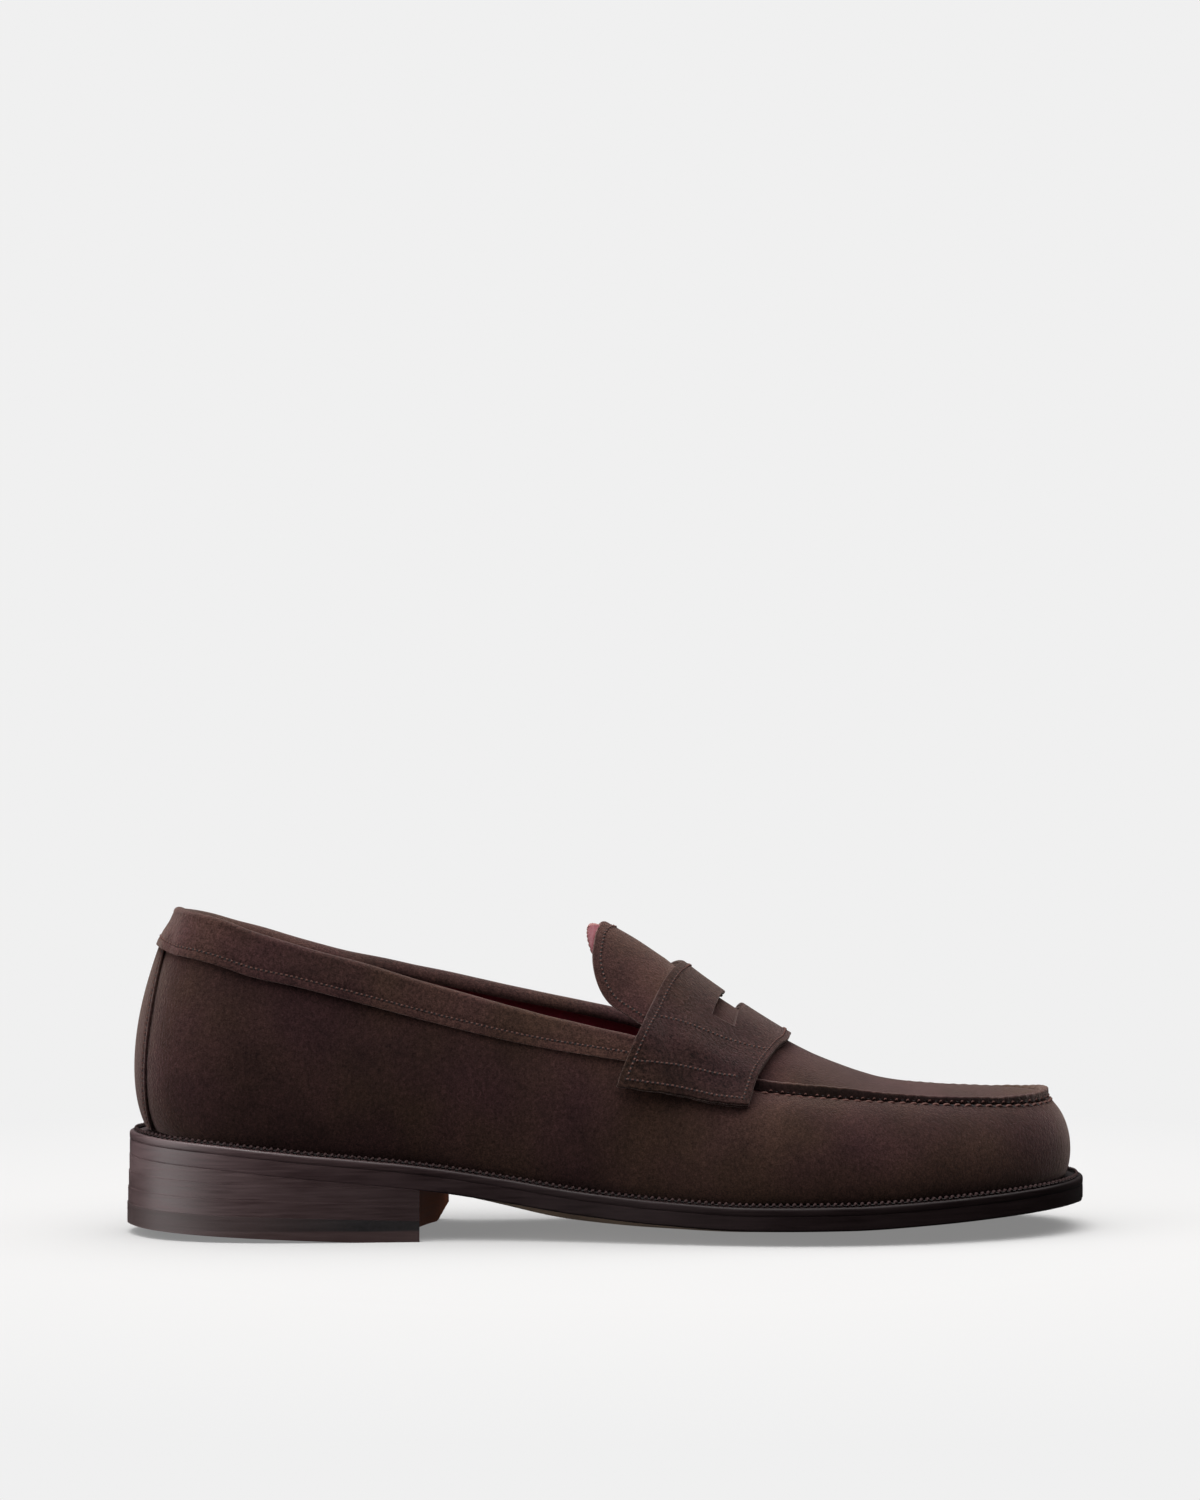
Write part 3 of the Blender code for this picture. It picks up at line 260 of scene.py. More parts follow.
def wall(u, t, depth=0.0):
    """Points on the upper's side, u round the shoe and t up from the welt to its top edge, depth inside."""
    u, t = np.broadcast_arrays(np.asarray(u, float), np.asarray(t, float))
    p, n = plan(u)
    x = p[..., 0]
    foot_in = FOOT_IN(x)
    top_in = foot_in + by_side(u, TOP_IN_LATERAL, TOP_IN_MEDIAL, x)
    top_z = by_side(u, TOP_Z_LATERAL, TOP_Z_MEDIAL, x - n[..., 0] * top_in)
    foot_z = WELT_TOP(x - n[..., 0] * foot_in) + GAP
    height = top_z - foot_z
    out = [-foot_in, -foot_in + FOOT_OUT(x), -top_in + SHOULDER_OUT(x), -top_in]
    up = [foot_z, foot_z + FOOT_UP(x) * height, top_z - SHOULDER_DOWN(x) * height, top_z]
    s = 1 - t
    weight = (s**3, 3 * s * s * t, 3 * s * t * t, t**3)
    o = sum(w * v for w, v in zip(weight, out))
    z = sum(w * v for w, v in zip(weight, up))
    rate = (s * s, 2 * s * t, t * t)
    do = sum(w * (out[k + 1] - out[k]) for k, w in enumerate(rate))
    dz = sum(w * (up[k + 1] - up[k]) for k, w in enumerate(rate))
    size = np.hypot(do, dz)
    o = o - depth * dz / size
    z = z + depth * do / size
    return np.stack([x + n[..., 0] * o, p[..., 1] + n[..., 1] * o, z], -1)


LATERAL_U = ROUND[ROUND <= U_TOE]
MEDIAL_U = ROUND[ROUND >= U_TOE][::-1]


def u_where(side, x, top=False):
    """The share of the way round at which the outline, or the wall's top edge, passes x."""
    us = LATERAL_U if side == "lateral" else MEDIAL_U
    xs = wall(us, 1.0)[:, 0] if top else plan(us)[0][:, 0]
    return np.interp(x, np.maximum.accumulate(xs), us)


def rim_point(side, x, inward, up):
    """A point beside the apron's seam at x: inward of it and above it."""
    u = u_where(side, x, top=True)
    n = plan(u)[1]
    p = wall(u, 1.0)
    p[..., :2] -= n * inward
    p[..., 2] += up
    return p


TIP_X = float(wall(LATERAL_U, 1.0)[:, 0].max())


def bezier(a, b, c, d, t):
    s = 1 - t
    return s**3 * a + 3 * s * s * t * b + 3 * s * t * t * c + t**3 * d


def half_section(edge, crest, t):
    """Points from an edge up over to the crest, level at the crest."""
    x = edge[0]
    spread = np.interp(x, (14, 46), (0.22, 0.333))
    climb = np.interp(x, (14, 46), (0.56, 0.667))
    rise = crest[2] - edge[2]
    across = crest - edge
    across[2] = 0
    near = edge + across * spread + np.array([0, 0, climb * rise])
    far = crest - across * 0.34
    return np.array([bezier(edge, near, far, crest, s) for s in t])


def crest_point(x):
    """The crest that a section meets. Round the toe the sections fan out from well behind the tip."""
    fan_start, fan_reach = 84.0, 27.0
    if x > fan_start:
        x = fan_start + fan_reach * (1 - math.exp(-(x - fan_start) / fan_reach))
    return np.array([x, CREST_Y(x), CREST_Z(x)], float)


def across_instep(x, edges, half_count):
    """A section from the lateral edge over the crest to the medial edge."""
    t = np.linspace(0, 1, half_count + 1)
    crest = crest_point(x)
    lateral = half_section(edges[0], crest, t)
    medial = half_section(edges[1], crest, t)
    return np.vstack([lateral, medial[-2::-1]])


def grid_normals(grid):
    normal = np.cross(np.gradient(grid, axis=0), np.gradient(grid, axis=1))
    return normal / np.maximum(np.linalg.norm(normal, axis=-1, keepdims=True), 1e-9)


def offset_grid(grid, depth):
    """The grid moved along its own normals. Positive depth goes towards the inside of the foot's space."""
    normal = grid_normals(grid)
    normal[normal[..., 2] < 0] *= -1
    return grid - normal * depth


# ---------------------------------------------------------------- mesh building


def at_mm(p):
    return np.asarray(p, float) * MM


def undulate(grid, amount, size, seed=0.0):
    """The grid moved a little along its normals by slow noise, as hand-lasted leather is never quite even."""
    flat = grid.reshape(-1, 3)
    push = np.array([noise.noise(Vector(p) / size + Vector((seed, 0, 0))) for p in flat])
    return grid + grid_normals(grid) * (push.reshape(grid.shape[:2]) * amount)[..., None]


def add_mesh(name, points, faces, looks, smooth_angle=42, kind=None):
    """looks is one material or several, and kind(point numbers of a face) says which one a face takes."""
    mesh = bpy.data.meshes.new(name)
    mesh.from_pydata([tuple(p) for p in at_mm(points)], [], faces)
    for look in looks if isinstance(looks, (list, tuple)) else [looks]:
        mesh.materials.append(look)
    if kind is not None:
        mesh.polygons.foreach_set("material_index", [kind(face) for face in faces])
    shell = bmesh.new()
    shell.from_mesh(mesh)
    bmesh.ops.remove_doubles(shell, verts=shell.verts, dist=0.004 * MM)
    bmesh.ops.recalc_face_normals(shell, faces=shell.faces)
    shell.to_mesh(mesh)
    shell.free()
    mesh.shade_smooth()
    mesh.set_sharp_from_angle(angle=math.radians(smooth_angle))
    obj = bpy.data.objects.new(name, mesh)
    bpy.context.scene.collection.objects.link(obj)
    return obj


def soften(obj, width):
    """Rounds the cut edges."""
    bevel = obj.modifiers.new("cut edge", "BEVEL")
    bevel.width = width * MM
    bevel.segments = 2
    bevel.limit_method = "ANGLE"
    bevel.angle_limit = math.radians(50)
    return obj


def thick_sheet(name, outer, inner, look, hole=None, edge=0.3, kind=None):
    """A closed sheet between two grids. hole is (first row, last row, first column, last column)."""
    rows, columns = outer.shape[:2]
    faces = []

    def number(skin, i, j):
        return (skin * rows + i) * columns + j

    def open_here(i, j):
        return hole is not None and hole[0] <= i < hole[1] and hole[2] <= j < hole[3]

    for i in range(rows - 1):
        for j in range(columns - 1):
            if not open_here(i, j):
                ring = [(i, j), (i + 1, j), (i + 1, j + 1), (i, j + 1)]
                faces.append([number(0, *p) for p in ring])
                faces.append([number(1, *p) for p in reversed(ring)])

    def side(a, b):
        faces.append([number(0, *b), number(0, *a), number(1, *a), number(1, *b)])

    for i in range(rows - 1):
        side((i, 0), (i + 1, 0))
        side((i + 1, columns - 1), (i, columns - 1))
    for j in range(columns - 1):
        side((0, j + 1), (0, j))
        side((rows - 1, j), (rows - 1, j + 1))
    if hole is not None:
        for i in range(hole[0], hole[1]):
            side((i + 1, hole[2]), (i, hole[2]))
            side((i, hole[3]), (i + 1, hole[3]))
        for j in range(hole[2], hole[3]):
            side((hole[0], j), (hole[0], j + 1))
            side((hole[1], j + 1), (hole[1], j))
    points = np.vstack([outer.reshape(-1, 3), inner.reshape(-1, 3)])
    obj = add_mesh(name, points, faces, look, kind=kind)
    return soften(obj, edge) if edge else obj


def closed_section(name, rows, look, smooth_angle=42, kind=None):
    """A loop round the shoe from one closed cross-section after another."""
    rows = np.array(rows)
    n, m = rows.shape[:2]
    faces = [
        [i * m + j, ((i + 1) % n) * m + j, ((i + 1) % n) * m + (j + 1) % m, i * m + (j + 1) % m]
        for i in range(n)
        for j in range(m)
    ]
    return add_mesh(name, rows.reshape(-1, 3), faces, look, smooth_angle, kind)


def settle(obj, slot, *nodes, body="shoe"):
    """The piece rides on its body (the tongue's pieces only have their placing baked in) and stands for its
    CAD nodes, which it hides. slot is not used.
    """
    if body == "tongue":
        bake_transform(obj)
    else:
        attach(obj, body)
    if nodes:
        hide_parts(*nodes)
    return obj


def even_path(points, normals, pitch):
    """Places every pitch along a path: centre, direction and normal."""
    points, normals = np.asarray(points, float), np.asarray(normals, float)
    run = arc(points)
    count = max(2, int(round(run[-1] / pitch)))
    at = (np.arange(count) + 0.5) * run[-1] / count

    def pick(values, s):
        return np.stack([np.interp(s, run, values[:, k]) for k in range(3)], 1)

    centre, normal = pick(points, at), pick(normals, at)
    ahead = pick(points, at + 0.2) - pick(points, at - 0.2)
    ahead /= np.linalg.norm(ahead, axis=1)[:, None]
    normal -= ahead * (normal * ahead).sum(1)[:, None]
    normal /= np.linalg.norm(normal, axis=1)[:, None]
    return centre, ahead, normal


STITCH_SIDES = 8
# Along one stitch: place from end to end, lift above the leather in radii, and fatness
STITCH_PROFILE = (
    (-1.0, -0.75, 0.55), (-0.78, 0.15, 0.9), (-0.35, 0.62, 1.0), (0.1, 0.72, 1.02), (0.5, 0.55, 1.0),
    (0.82, 0.1, 0.88), (1.0, -0.75, 0.5),
)


def stitches(
    name, points, normals, look="thread", pitch=1.6, length=0.9, radius=0.29, slant=0.0, seed=1,
    body="shoe", nodes=(),
):
    """A row of stitches: short two-ply threads that rise from one needle hole and dip into the next."""
    rng = np.random.default_rng(seed)
    centre, ahead, normal = even_path(points, normals, pitch)
    across = np.cross(normal, ahead)
    verts, faces, hole_faces = [], [], []
    angles = [2 * math.pi * q / STITCH_SIDES for q in range(STITCH_SIDES)]
    for c, a, n, b in zip(centre, ahead, normal, across):
        tilt = slant + rng.normal(0, 0.07)
        direction = a * math.cos(tilt) + b * math.sin(tilt)
        side = np.cross(n, direction)
        half = length / 2 * rng.uniform(0.93, 1.05)
        base = len(verts)
        shift = rng.normal(0, 0.03)
        for k, (s, lift, fat) in enumerate(STITCH_PROFILE):
            middle = c + direction * s * half + n * lift * radius + side * shift
            for angle in angles:
                r = radius * fat * (1 + 0.13 * math.cos(2 * angle - 1.15 * k))
                verts.append(middle + side * math.cos(angle) * r + n * math.sin(angle) * r * 0.9)
        for k in range(len(STITCH_PROFILE) - 1):
            one, two = base + k * STITCH_SIDES, base + (k + 1) * STITCH_SIDES
            for q in range(STITCH_SIDES):
                p = (q + 1) % STITCH_SIDES
                faces.append([one + q, one + p, two + p, two + q])
        # Each end gets a near-black cap over a small cone, painted shade for the needle hole.
        for end in (-1, 1):
            start = len(verts)
            pit = c + direction * end * max(half + radius * 0.35, pitch / 2 - 0.12)
            for angle in angles:
                across_pit = side * math.cos(angle) * radius * 1.3
                verts.append(pit + across_pit + direction * math.sin(angle) * radius * 1.05 + n * 0.07)
            verts.append(pit - n * radius)
            bottom = start + STITCH_SIDES
            hole_faces += [[start + q, start + (q + 1) % STITCH_SIDES, bottom] for q in range(STITCH_SIDES)]
            hole_faces.append([start + q for q in range(STITCH_SIDES)])
    pits = {face[0] for face in hole_faces}
    looks = [LOOKS[look], LOOKS["hole"]]
    obj = add_mesh(name, verts, faces + hole_faces, looks, 80, lambda face: int(face[0] in pits))
    return settle(obj, "thread", *nodes, body=body)


# ---------------------------------------------------------------- materials


class Shader:
    """A small helper that builds one Principled material and wires its nodes."""

    def __init__(self, name, roughness, **fixed):
        self.material = bpy.data.materials.new(name)
        self.material.use_nodes = True
        self.tree = self.material.node_tree
        self.principled = self.tree.nodes["Principled BSDF"]
        self.principled.inputs["Roughness"].default_value = roughness
        for socket, value in fixed.items():
            self.principled.inputs[socket.replace("_", " ")].default_value = value
        self.place = self.tree.nodes.new("ShaderNodeTexCoord").outputs["Object"]

    def node(self, kind, inputs=(), **settings):
        made = self.tree.nodes.new(kind)
        for key, value in settings.items():
            setattr(made, key, value)
        for key, value in dict(inputs).items():
            if isinstance(value, bpy.types.NodeSocket):
                self.tree.links.new(value, made.inputs[key])
            else:
                made.inputs[key].default_value = value
        return made

    def axis(self, letter):
        return self.node("ShaderNodeSeparateXYZ", {"Vector": self.place}).outputs[letter]

    def grey(self, value):
        channels = {"Red": value, "Green": value, "Blue": value}
        return self.node("ShaderNodeCombineColor", channels).outputs["Color"]

    def times(self, a, b):
        return self.node("ShaderNodeMath", {0: a, 1: b}, operation="MULTIPLY").outputs[0]

    def stretched(self, scale):
        return self.node("ShaderNodeMapping", {"Vector": self.place, "Scale": scale}).outputs["Vector"]

    def noise(self, scale, detail=2.0, roughness=0.5, vector=None, distortion=0.0):
        inputs = {"Vector": vector or self.place, "Scale": scale, "Detail": detail, "Roughness": roughness}
        inputs["Distortion"] = distortion
        return self.node("ShaderNodeTexNoise", inputs).outputs["Fac"]

    def cells(self, scale):
        settings = {"Vector": self.place, "Scale": float(scale)}
        return self.node("ShaderNodeTexVoronoi", settings).outputs["Distance"]

    def ramp(self, value, stops):
        """stops is the first and the last (place, colour)."""
        made = self.node("ShaderNodeValToRGB", {"Fac": value})
        for element, (place, colour) in zip(made.color_ramp.elements, stops):
            element.position = place
            element.color = (*colour, 1)
        return made.outputs["Color"]

    def level(self, value, low, high, start=0.0, end=1.0):
        inputs = {"Value": value, "From Min": start, "From Max": end, "To Min": low, "To Max": high}
        return self.node("ShaderNodeMapRange", inputs).outputs["Result"]

    def mix(self, share, a, b, blend="MIX"):
        made = self.node("ShaderNodeMix", data_type="RGBA", blend_type=blend)
        for index, value in ((0, share), (6, a), (7, b)):
            if isinstance(value, bpy.types.NodeSocket):
                self.tree.links.new(value, made.inputs[index])
            else:
                made.inputs[index].default_value = value if index == 0 else (*value, 1)
        return made.outputs[2]

    def sum(self, a, b, share=1.0):
        return self.node("ShaderNodeMath", {0: a, 1: self.times(b, share)}, operation="ADD").outputs[0]

    def bump(self, height, depth, strength=1.0):
        made = self.node("ShaderNodeBump", {"Height": height, "Distance": depth * MM, "Strength": strength})
        self.tree.links.new(made.outputs["Normal"], self.principled.inputs["Normal"])

    def wire(self, socket, value):
        self.tree.links.new(value, self.principled.inputs[socket])


def suede(name, dark, light, cut=False, speckle=0.22, share=1.0):
    """Brown suede: cloudy brushed patches, short nap, and a soft sheen at grazing angles."""
    # share scales the whole colour; the brighter collar and tongue copies below are painted light, and the
    # darker strap copy is painted shade.
    dark, light = (tuple(c * share for c in colour) for colour in (dark, light))
    s = Shader(
        name, 0.96, Specular_IOR_Level=0.08, Sheen_Weight=0.36, Sheen_Roughness=0.38,
        Sheen_Tint=(0.72, 0.55, 0.5, 1),
    )
    cloud = s.noise(34, 2.0, 0.45, distortion=0.3)
    brushed = s.noise(95, 3.0, 0.6, s.stretched((1.0, 1.0, 0.6)))
    nap = s.noise(2300 if not cut else 3000, 2.0, 0.65)
    fibre = s.noise(1100, 3.0, 0.7, s.stretched((1.0, 1.0, 0.6)))
    tone = s.sum(s.level(cloud, 0.18, 0.82, 0.3, 0.7), s.level(brushed, -0.14, 0.14, 0.3, 0.7))
    tone = s.sum(tone, s.level(fibre, -0.3, 0.3, 0.3, 0.7))
    patches = s.level(s.noise(27, 2.0, 0.5), 0.0, 1.0, 0.35, 0.65)
    hue = s.mix(patches, (1.0, 0.92, 1.08), (0.98, 1.08, 0.86))
    colour = s.mix(1.0, s.ramp(tone, [(0.0, dark), (1.0, light)]), hue, "MULTIPLY")
    coarse = s.level(s.noise(900, 2.0, 0.6), -speckle, speckle, 0.3, 0.7)
    speck = s.sum(s.level(nap, 0.5, 1.5, 0.3, 0.7), coarse)
    s.wire("Base Color", s.mix(1.0, colour, s.grey(speck), "MULTIPLY"))
    s.wire("Roughness", s.level(cloud, 0.9, 1.0))
    s.bump(s.sum(nap, fibre, 1.3), 0.32 if not cut else 0.5, 0.75)
    return s.material


def smooth_leather(name, dark, light):
    """Lining calf: a fine pebbled grain with pores, darker in its creases."""
    s = Shader(name, 0.42, Specular_IOR_Level=0.42)
    cells = s.cells(900)
    tone = s.sum(s.level(s.noise(55, 4.0, 0.6), 0.0, 1.0, 0.25, 0.75), s.level(cells, -0.12, 0.12))
    s.wire("Base Color", s.ramp(tone, [(0.0, dark), (1.0, light)]))
    s.wire("Roughness", s.level(s.noise(240, 3.0), 0.32, 0.56))
    s.bump(s.sum(cells, s.noise(2500, 2.0), 0.5), 0.06)
    return s.material


def burnished_edge(name, dark, light):
    """Waxed, burnished leather seen on its edge: fine level lines, broken gloss, and painted shade that
    darkens it towards the toe, where the specular level is lower too.
    """
    s = Shader(name, 0.4, Specular_IOR_Level=0.3, Coat_Weight=0.06, Coat_Roughness=0.25)
    lines = s.noise(1500, 3.0, 0.6, s.stretched((0.045, 0.045, 1.0)))
    cloud = s.noise(70, 3.0, 0.55, s.stretched((0.4, 0.4, 1.3)))
    tone = s.sum(s.level(lines, 0.1, 0.7, 0.3, 0.7), s.level(cloud, -0.18, 0.38, 0.3, 0.7))
    along = s.axis("X")
    # Painted shade: this factor falls from 1 at the heel to 0.15 at the toe and darkens the colour; it also
    # lowers the specular level towards the toe.
    toe_shade_and_gloss = s.times(s.level(along, 1.0, 0.3, -0.125, -0.045), s.level(along, 1.0, 0.5, -0.04, 0.05))
    s.wire("Specular IOR Level", s.level(toe_shade_and_gloss, 0.1, 0.5, 0.15, 1.0))
    s.wire("Base Color", s.mix(1.0, s.ramp(tone, [(0.0, dark), (1.0, light)]), s.grey(toe_shade_and_gloss), "MULTIPLY"))
    s.wire("Roughness", s.level(s.sum(lines, cloud), 0.32, 0.64, 0.6, 1.4))
    s.bump(s.sum(lines, s.noise(3000, 2.0), 0.25), 0.045)
    return s.material


def raw_leather(name, dark, light, roughness=0.62):
    """Undyed sole or insole leather: mottled, with pores and faint fibre."""
    s = Shader(name, roughness, Specular_IOR_Level=0.35)
    fibre = s.noise(900, 3.0, 0.65, s.stretched((0.35, 1.0, 1.0)))
    tone = s.sum(s.level(s.noise(60, 5.0, 0.6), -0.1, 1.0, 0.25, 0.75), s.level(fibre, -0.2, 0.2))
    s.wire("Base Color", s.ramp(tone, [(0.0, dark), (1.0, light)]))
    s.wire("Roughness", s.level(fibre, roughness - 0.08, roughness + 0.15))
    s.bump(s.sum(fibre, s.noise(2600, 2.0), 0.6), 0.08)
    return s.material


def top_piece_look(name):
    """The heel's last layer: a dark rubber band above, brown leather below, told apart by height."""
    s = Shader(name, 0.5, Specular_IOR_Level=0.42)
    edge = s.sum(s.axis("Z"), s.level(s.noise(28, 2.0), -0.0004, 0.0004))
    rubber = s.times(s.level(edge, 0.0, 1.0, 0.0032, 0.0037), s.level(s.axis("X"), 0.25, 1.0, -0.11, -0.078))
    lines = s.noise(700, 3.0, 0.6, s.stretched((0.05, 0.05, 1.0)))
    brown = s.ramp(lines, [(0.3, (0.034, 0.018, 0.0175)), (0.7, (0.062, 0.039, 0.039))])
    grey = s.ramp(s.noise(900, 3.0), [(0.3, (0.0085, 0.007, 0.0075)), (0.7, (0.015, 0.0125, 0.0135))])
    s.wire("Base Color", s.mix(rubber, brown, grey))
    s.wire("Roughness", s.level(lines, 0.38, 0.62))
    s.bump(s.sum(lines, s.noise(2400, 2.0), 0.4), 0.07)
    return s.material


def breast_look(name):
    """The hollow front of the heel, stained orange-brown, with its layers showing as lines."""
    s = Shader(name, 0.5, Specular_IOR_Level=0.4)
    lines = s.noise(620, 3.0, 0.6, s.stretched((0.08, 0.08, 1.0)))
    tone = s.sum(s.level(lines, 0.0, 0.7), s.level(s.noise(80, 3.0), -0.1, 0.4))
    s.wire("Base Color", s.ramp(tone, [(0.0, (0.17, 0.045, 0.02)), (1.0, (0.45, 0.14, 0.06))]))
    s.wire("Roughness", s.level(lines, 0.4, 0.66))
    s.bump(s.sum(lines, s.noise(2500, 2.0), 0.4), 0.1)
    return s.material


def thread_look(name, dark, light):
    """Waxed two-ply thread."""
    s = Shader(name, 0.75, Specular_IOR_Level=0.12)
    ply = s.noise(5200, 2.0, 0.6)
    tone = s.sum(s.level(ply, 0.0, 0.8), s.level(s.noise(300), -0.1, 0.3))
    s.wire("Base Color", s.ramp(tone, [(0.0, dark), (1.0, light)]))
    s.wire("Roughness", s.level(ply, 0.65, 0.85))
    s.bump(ply, 0.08)
    return s.material


def granular(name, dark, light, scale, depth=0.25):
    """Cork and fibre board: pressed grains."""
    s = Shader(name, 0.85, Specular_IOR_Level=0.25)
    cells = s.cells(scale)
    tone = s.sum(cells, s.level(s.noise(scale * 2.0, 3.0), -0.2, 0.3))
    s.wire("Base Color", s.ramp(tone, [(0.0, dark), (0.8, light)]))
    s.wire("Roughness", s.level(cells, 0.75, 0.95))
    s.bump(cells, depth)
    return s.material


def woven(name, dark, light):
    """Plain-woven canvas tape with a thread every 0.9 mm."""
    s = Shader(name, 0.9, Sheen_Weight=0.2)
    settings = {"Vector": s.place, "Scale": 2 * math.pi / 0.0009 / 20, "Distortion": 0.6}
    waves = [s.node("ShaderNodeTexWave", settings, bands_direction=way).outputs["Fac"] for way in ("X", "Z")]
    cloth = s.node("ShaderNodeMath", dict(enumerate(waves)), operation="MAXIMUM").outputs[0]
    fibres = s.sum(cloth, s.level(s.noise(500, 3.0), -0.2, 0.2))
    s.wire("Base Color", s.ramp(fibres, [(0.1, dark), (0.9, light)]))
    s.wire("Roughness", s.level(cloth, 0.95, 0.8))
    s.bump(cloth, 0.15)
    return s.material


def brushed_metal(name, dark, light, roughness):
    """Bare metal with fine lines across it."""
    s = Shader(name, roughness, Metallic=1.0)
    brush = s.noise(1500, 3.0, 0.6, s.stretched((0.05, 1.0, 1.0)))
    s.wire("Base Color", s.ramp(brush, [(0.2, dark), (0.8, light)]))
    s.wire("Roughness", s.level(brush, roughness - 0.08, roughness + 0.15))
    s.bump(brush, 0.03)
    return s.material


SUEDE_DARK = (0.0150, 0.0067, 0.0060)
SUEDE_LIGHT = (0.040, 0.0190, 0.0165)
LOOKS = {
    "suede": suede("brown_suede", SUEDE_DARK, SUEDE_LIGHT, share=0.95),
    # Painted shade: the strap copy of the suede is darkened to 0.74.
    "strap": suede("rough_brown_suede_painted_shade", SUEDE_DARK, SUEDE_LIGHT, speckle=0.6, share=0.74),
    # Painted light: the collar and tongue copies of the suede are brightened to 1.18 and 1.45.
    "collar": suede("collar_suede_painted_light", SUEDE_DARK, SUEDE_LIGHT, speckle=0.34, share=1.18),
    "tongue": suede("tongue_suede_painted_light", SUEDE_DARK, SUEDE_LIGHT, share=1.45),
    "rim": suede("cut_suede", (0.024, 0.012, 0.011), (0.07, 0.038, 0.034), cut=True),
    # Painted shade: a darker copy of the cut suede for the rim's outer side face.
    "rim_side": suede("shaded_cut_suede", (0.008, 0.0038, 0.0037), (0.022, 0.0105, 0.010), cut=True),
    "lining": smooth_leather("burgundy_lining", (0.075, 0.006, 0.012), (0.15, 0.014, 0.026)),
    "pinked": raw_leather("pale_burgundy_edge", (0.08, 0.02, 0.022), (0.33, 0.15, 0.14)),
    "edge": burnished_edge("burnished_welt", (0.030, 0.0155, 0.0165), (0.085, 0.049, 0.052)),
    "stack": burnished_edge("burnished_heel", (0.036, 0.0190, 0.0195), (0.086, 0.052, 0.054)),
    "tread": raw_leather("sole_leather", (0.21, 0.125, 0.08), (0.42, 0.29, 0.2), roughness=0.5),
    "insole": raw_leather("insole_leather", (0.25, 0.14, 0.07), (0.45, 0.29, 0.17)),
    "top_piece": top_piece_look("top_piece_layers"),
    "breast": breast_look("stained_breast"),
    "thread": thread_look("brown_thread", (0.05, 0.023, 0.019), (0.13, 0.064, 0.054)),
    "welt_thread": thread_look("welt_thread", (0.014, 0.0075, 0.0075), (0.045, 0.026, 0.026)),
    # Painted shade: the needle holes are near-black.
    "hole": Shader("needle_hole_painted_shade", 0.95, Base_Color=(0.006, 0.004, 0.004, 1)).material,
    "cork": granular("cork", (0.14, 0.075, 0.035), (0.42, 0.27, 0.15), 420),
    "board": granular("fibre_board", (0.28, 0.2, 0.13), (0.5, 0.4, 0.29), 1500, depth=0.08),
    "canvas": woven("canvas_rib", (0.42, 0.38, 0.3), (0.76, 0.72, 0.62)),
    "steel": brushed_metal("shank_steel", (0.32, 0.32, 0.34), (0.6, 0.6, 0.62), 0.34),
    "brass": brushed_metal("pin_brass", (0.5, 0.35, 0.14), (0.8, 0.6, 0.3), 0.3),
}


# ---------------------------------------------------------------- the upper


def spread(values):
    """u for one trip round the shoe from the back, crowded where the outline turns."""
    p, n = plan(values)
    turn = np.linalg.norm(np.gradient(n, axis=0), axis=1)
    run = np.concatenate([[0], np.cumsum(np.sqrt(turn[1:] + 0.0012))])
    return np.interp(np.linspace(0, run[-1], len(values)), run, values)


def rear_us(x, count):
    """From the outer side at x round the back of the shoe to the inner side at x."""
    half = count // 2
    lateral = spread(np.linspace(0, u_where("lateral", x), half + 1))[::-1]
    medial = spread(np.linspace(u_where("medial", x), 1, half + 1))[::-1]
    return np.concatenate([lateral, medial[1:]])


def front_us(x, count):
    return spread(np.linspace(u_where("lateral", x), u_where("medial", x), count + 1))


def shares_below(us, *drops):
    """t at several distances below the top edge, one column each."""
    ts = np.linspace(0, 1, 61)
    u, t = np.meshgrid(us, ts, indexing="ij")
    steps = np.linalg.norm(np.diff(wall(u, t), axis=1), axis=2)
    run = np.concatenate([np.zeros((len(us), 1)), np.cumsum(steps, axis=1)], 1)
    out = []
    for drop in drops:
        wanted = run[:, -1] - np.broadcast_to(drop, us.shape)
        out.append([np.interp(w, r, ts) for w, r in zip(wanted, run)])
    return np.array(out).T


def sample(table, row, column):
    """Points of a grid at fractional rows and columns."""
    row = np.clip(row, 0, table.shape[0] - 1.0001)
    column = np.clip(column, 0, table.shape[1] - 1.0001)
    i, j = row.astype(int), column.astype(int)
    a, b = (row - i)[..., None], (column - j)[..., None]
    low = table[i, j] * (1 - b) + table[i, j + 1] * b
    high = table[i + 1, j] * (1 - b) + table[i + 1, j + 1] * b
    return low * (1 - a) + high * a


def make_skirt():
    """The one-piece skirt. It swells softly between the apron seam's stitches and tucks in at the welt."""
    us = np.concatenate([[0.0006], spread(np.linspace(0, 1, 460))[1:-1], [0.9994]])
    x = plan(us)[0][:, 0]
    top = shares_below(us, np.interp(x, (8, 17), (2.2, 0.0)))[:, 0]
    rows = np.linspace(0, 1, 47) ** 0.92
    t = rows[None, :] * top[:, None]
    seam_run = arc(wall(us, 1.0))
    swell = np.interp(x, (30, 50), (0, 1))[:, None] * 0.3
    near_top = np.exp(-(((1 - rows[None, :]) * 32 / 2.2) ** 2))
    puff = swell * near_top * (0.5 - 0.5 * np.cos(2 * math.pi * seam_run / SEAM_PITCH))[:, None]
    tuck = 0.35 * np.exp(-rows[None, :] * 22)
    outer = undulate(wall(us[:, None], t, tuck - puff), 0.42, 26.0)
    obj = thick_sheet("suede_skirt", outer, wall(us[:, None], t, SUEDE), LOOKS["suede"])
    settle(obj, "suede", "skirt")


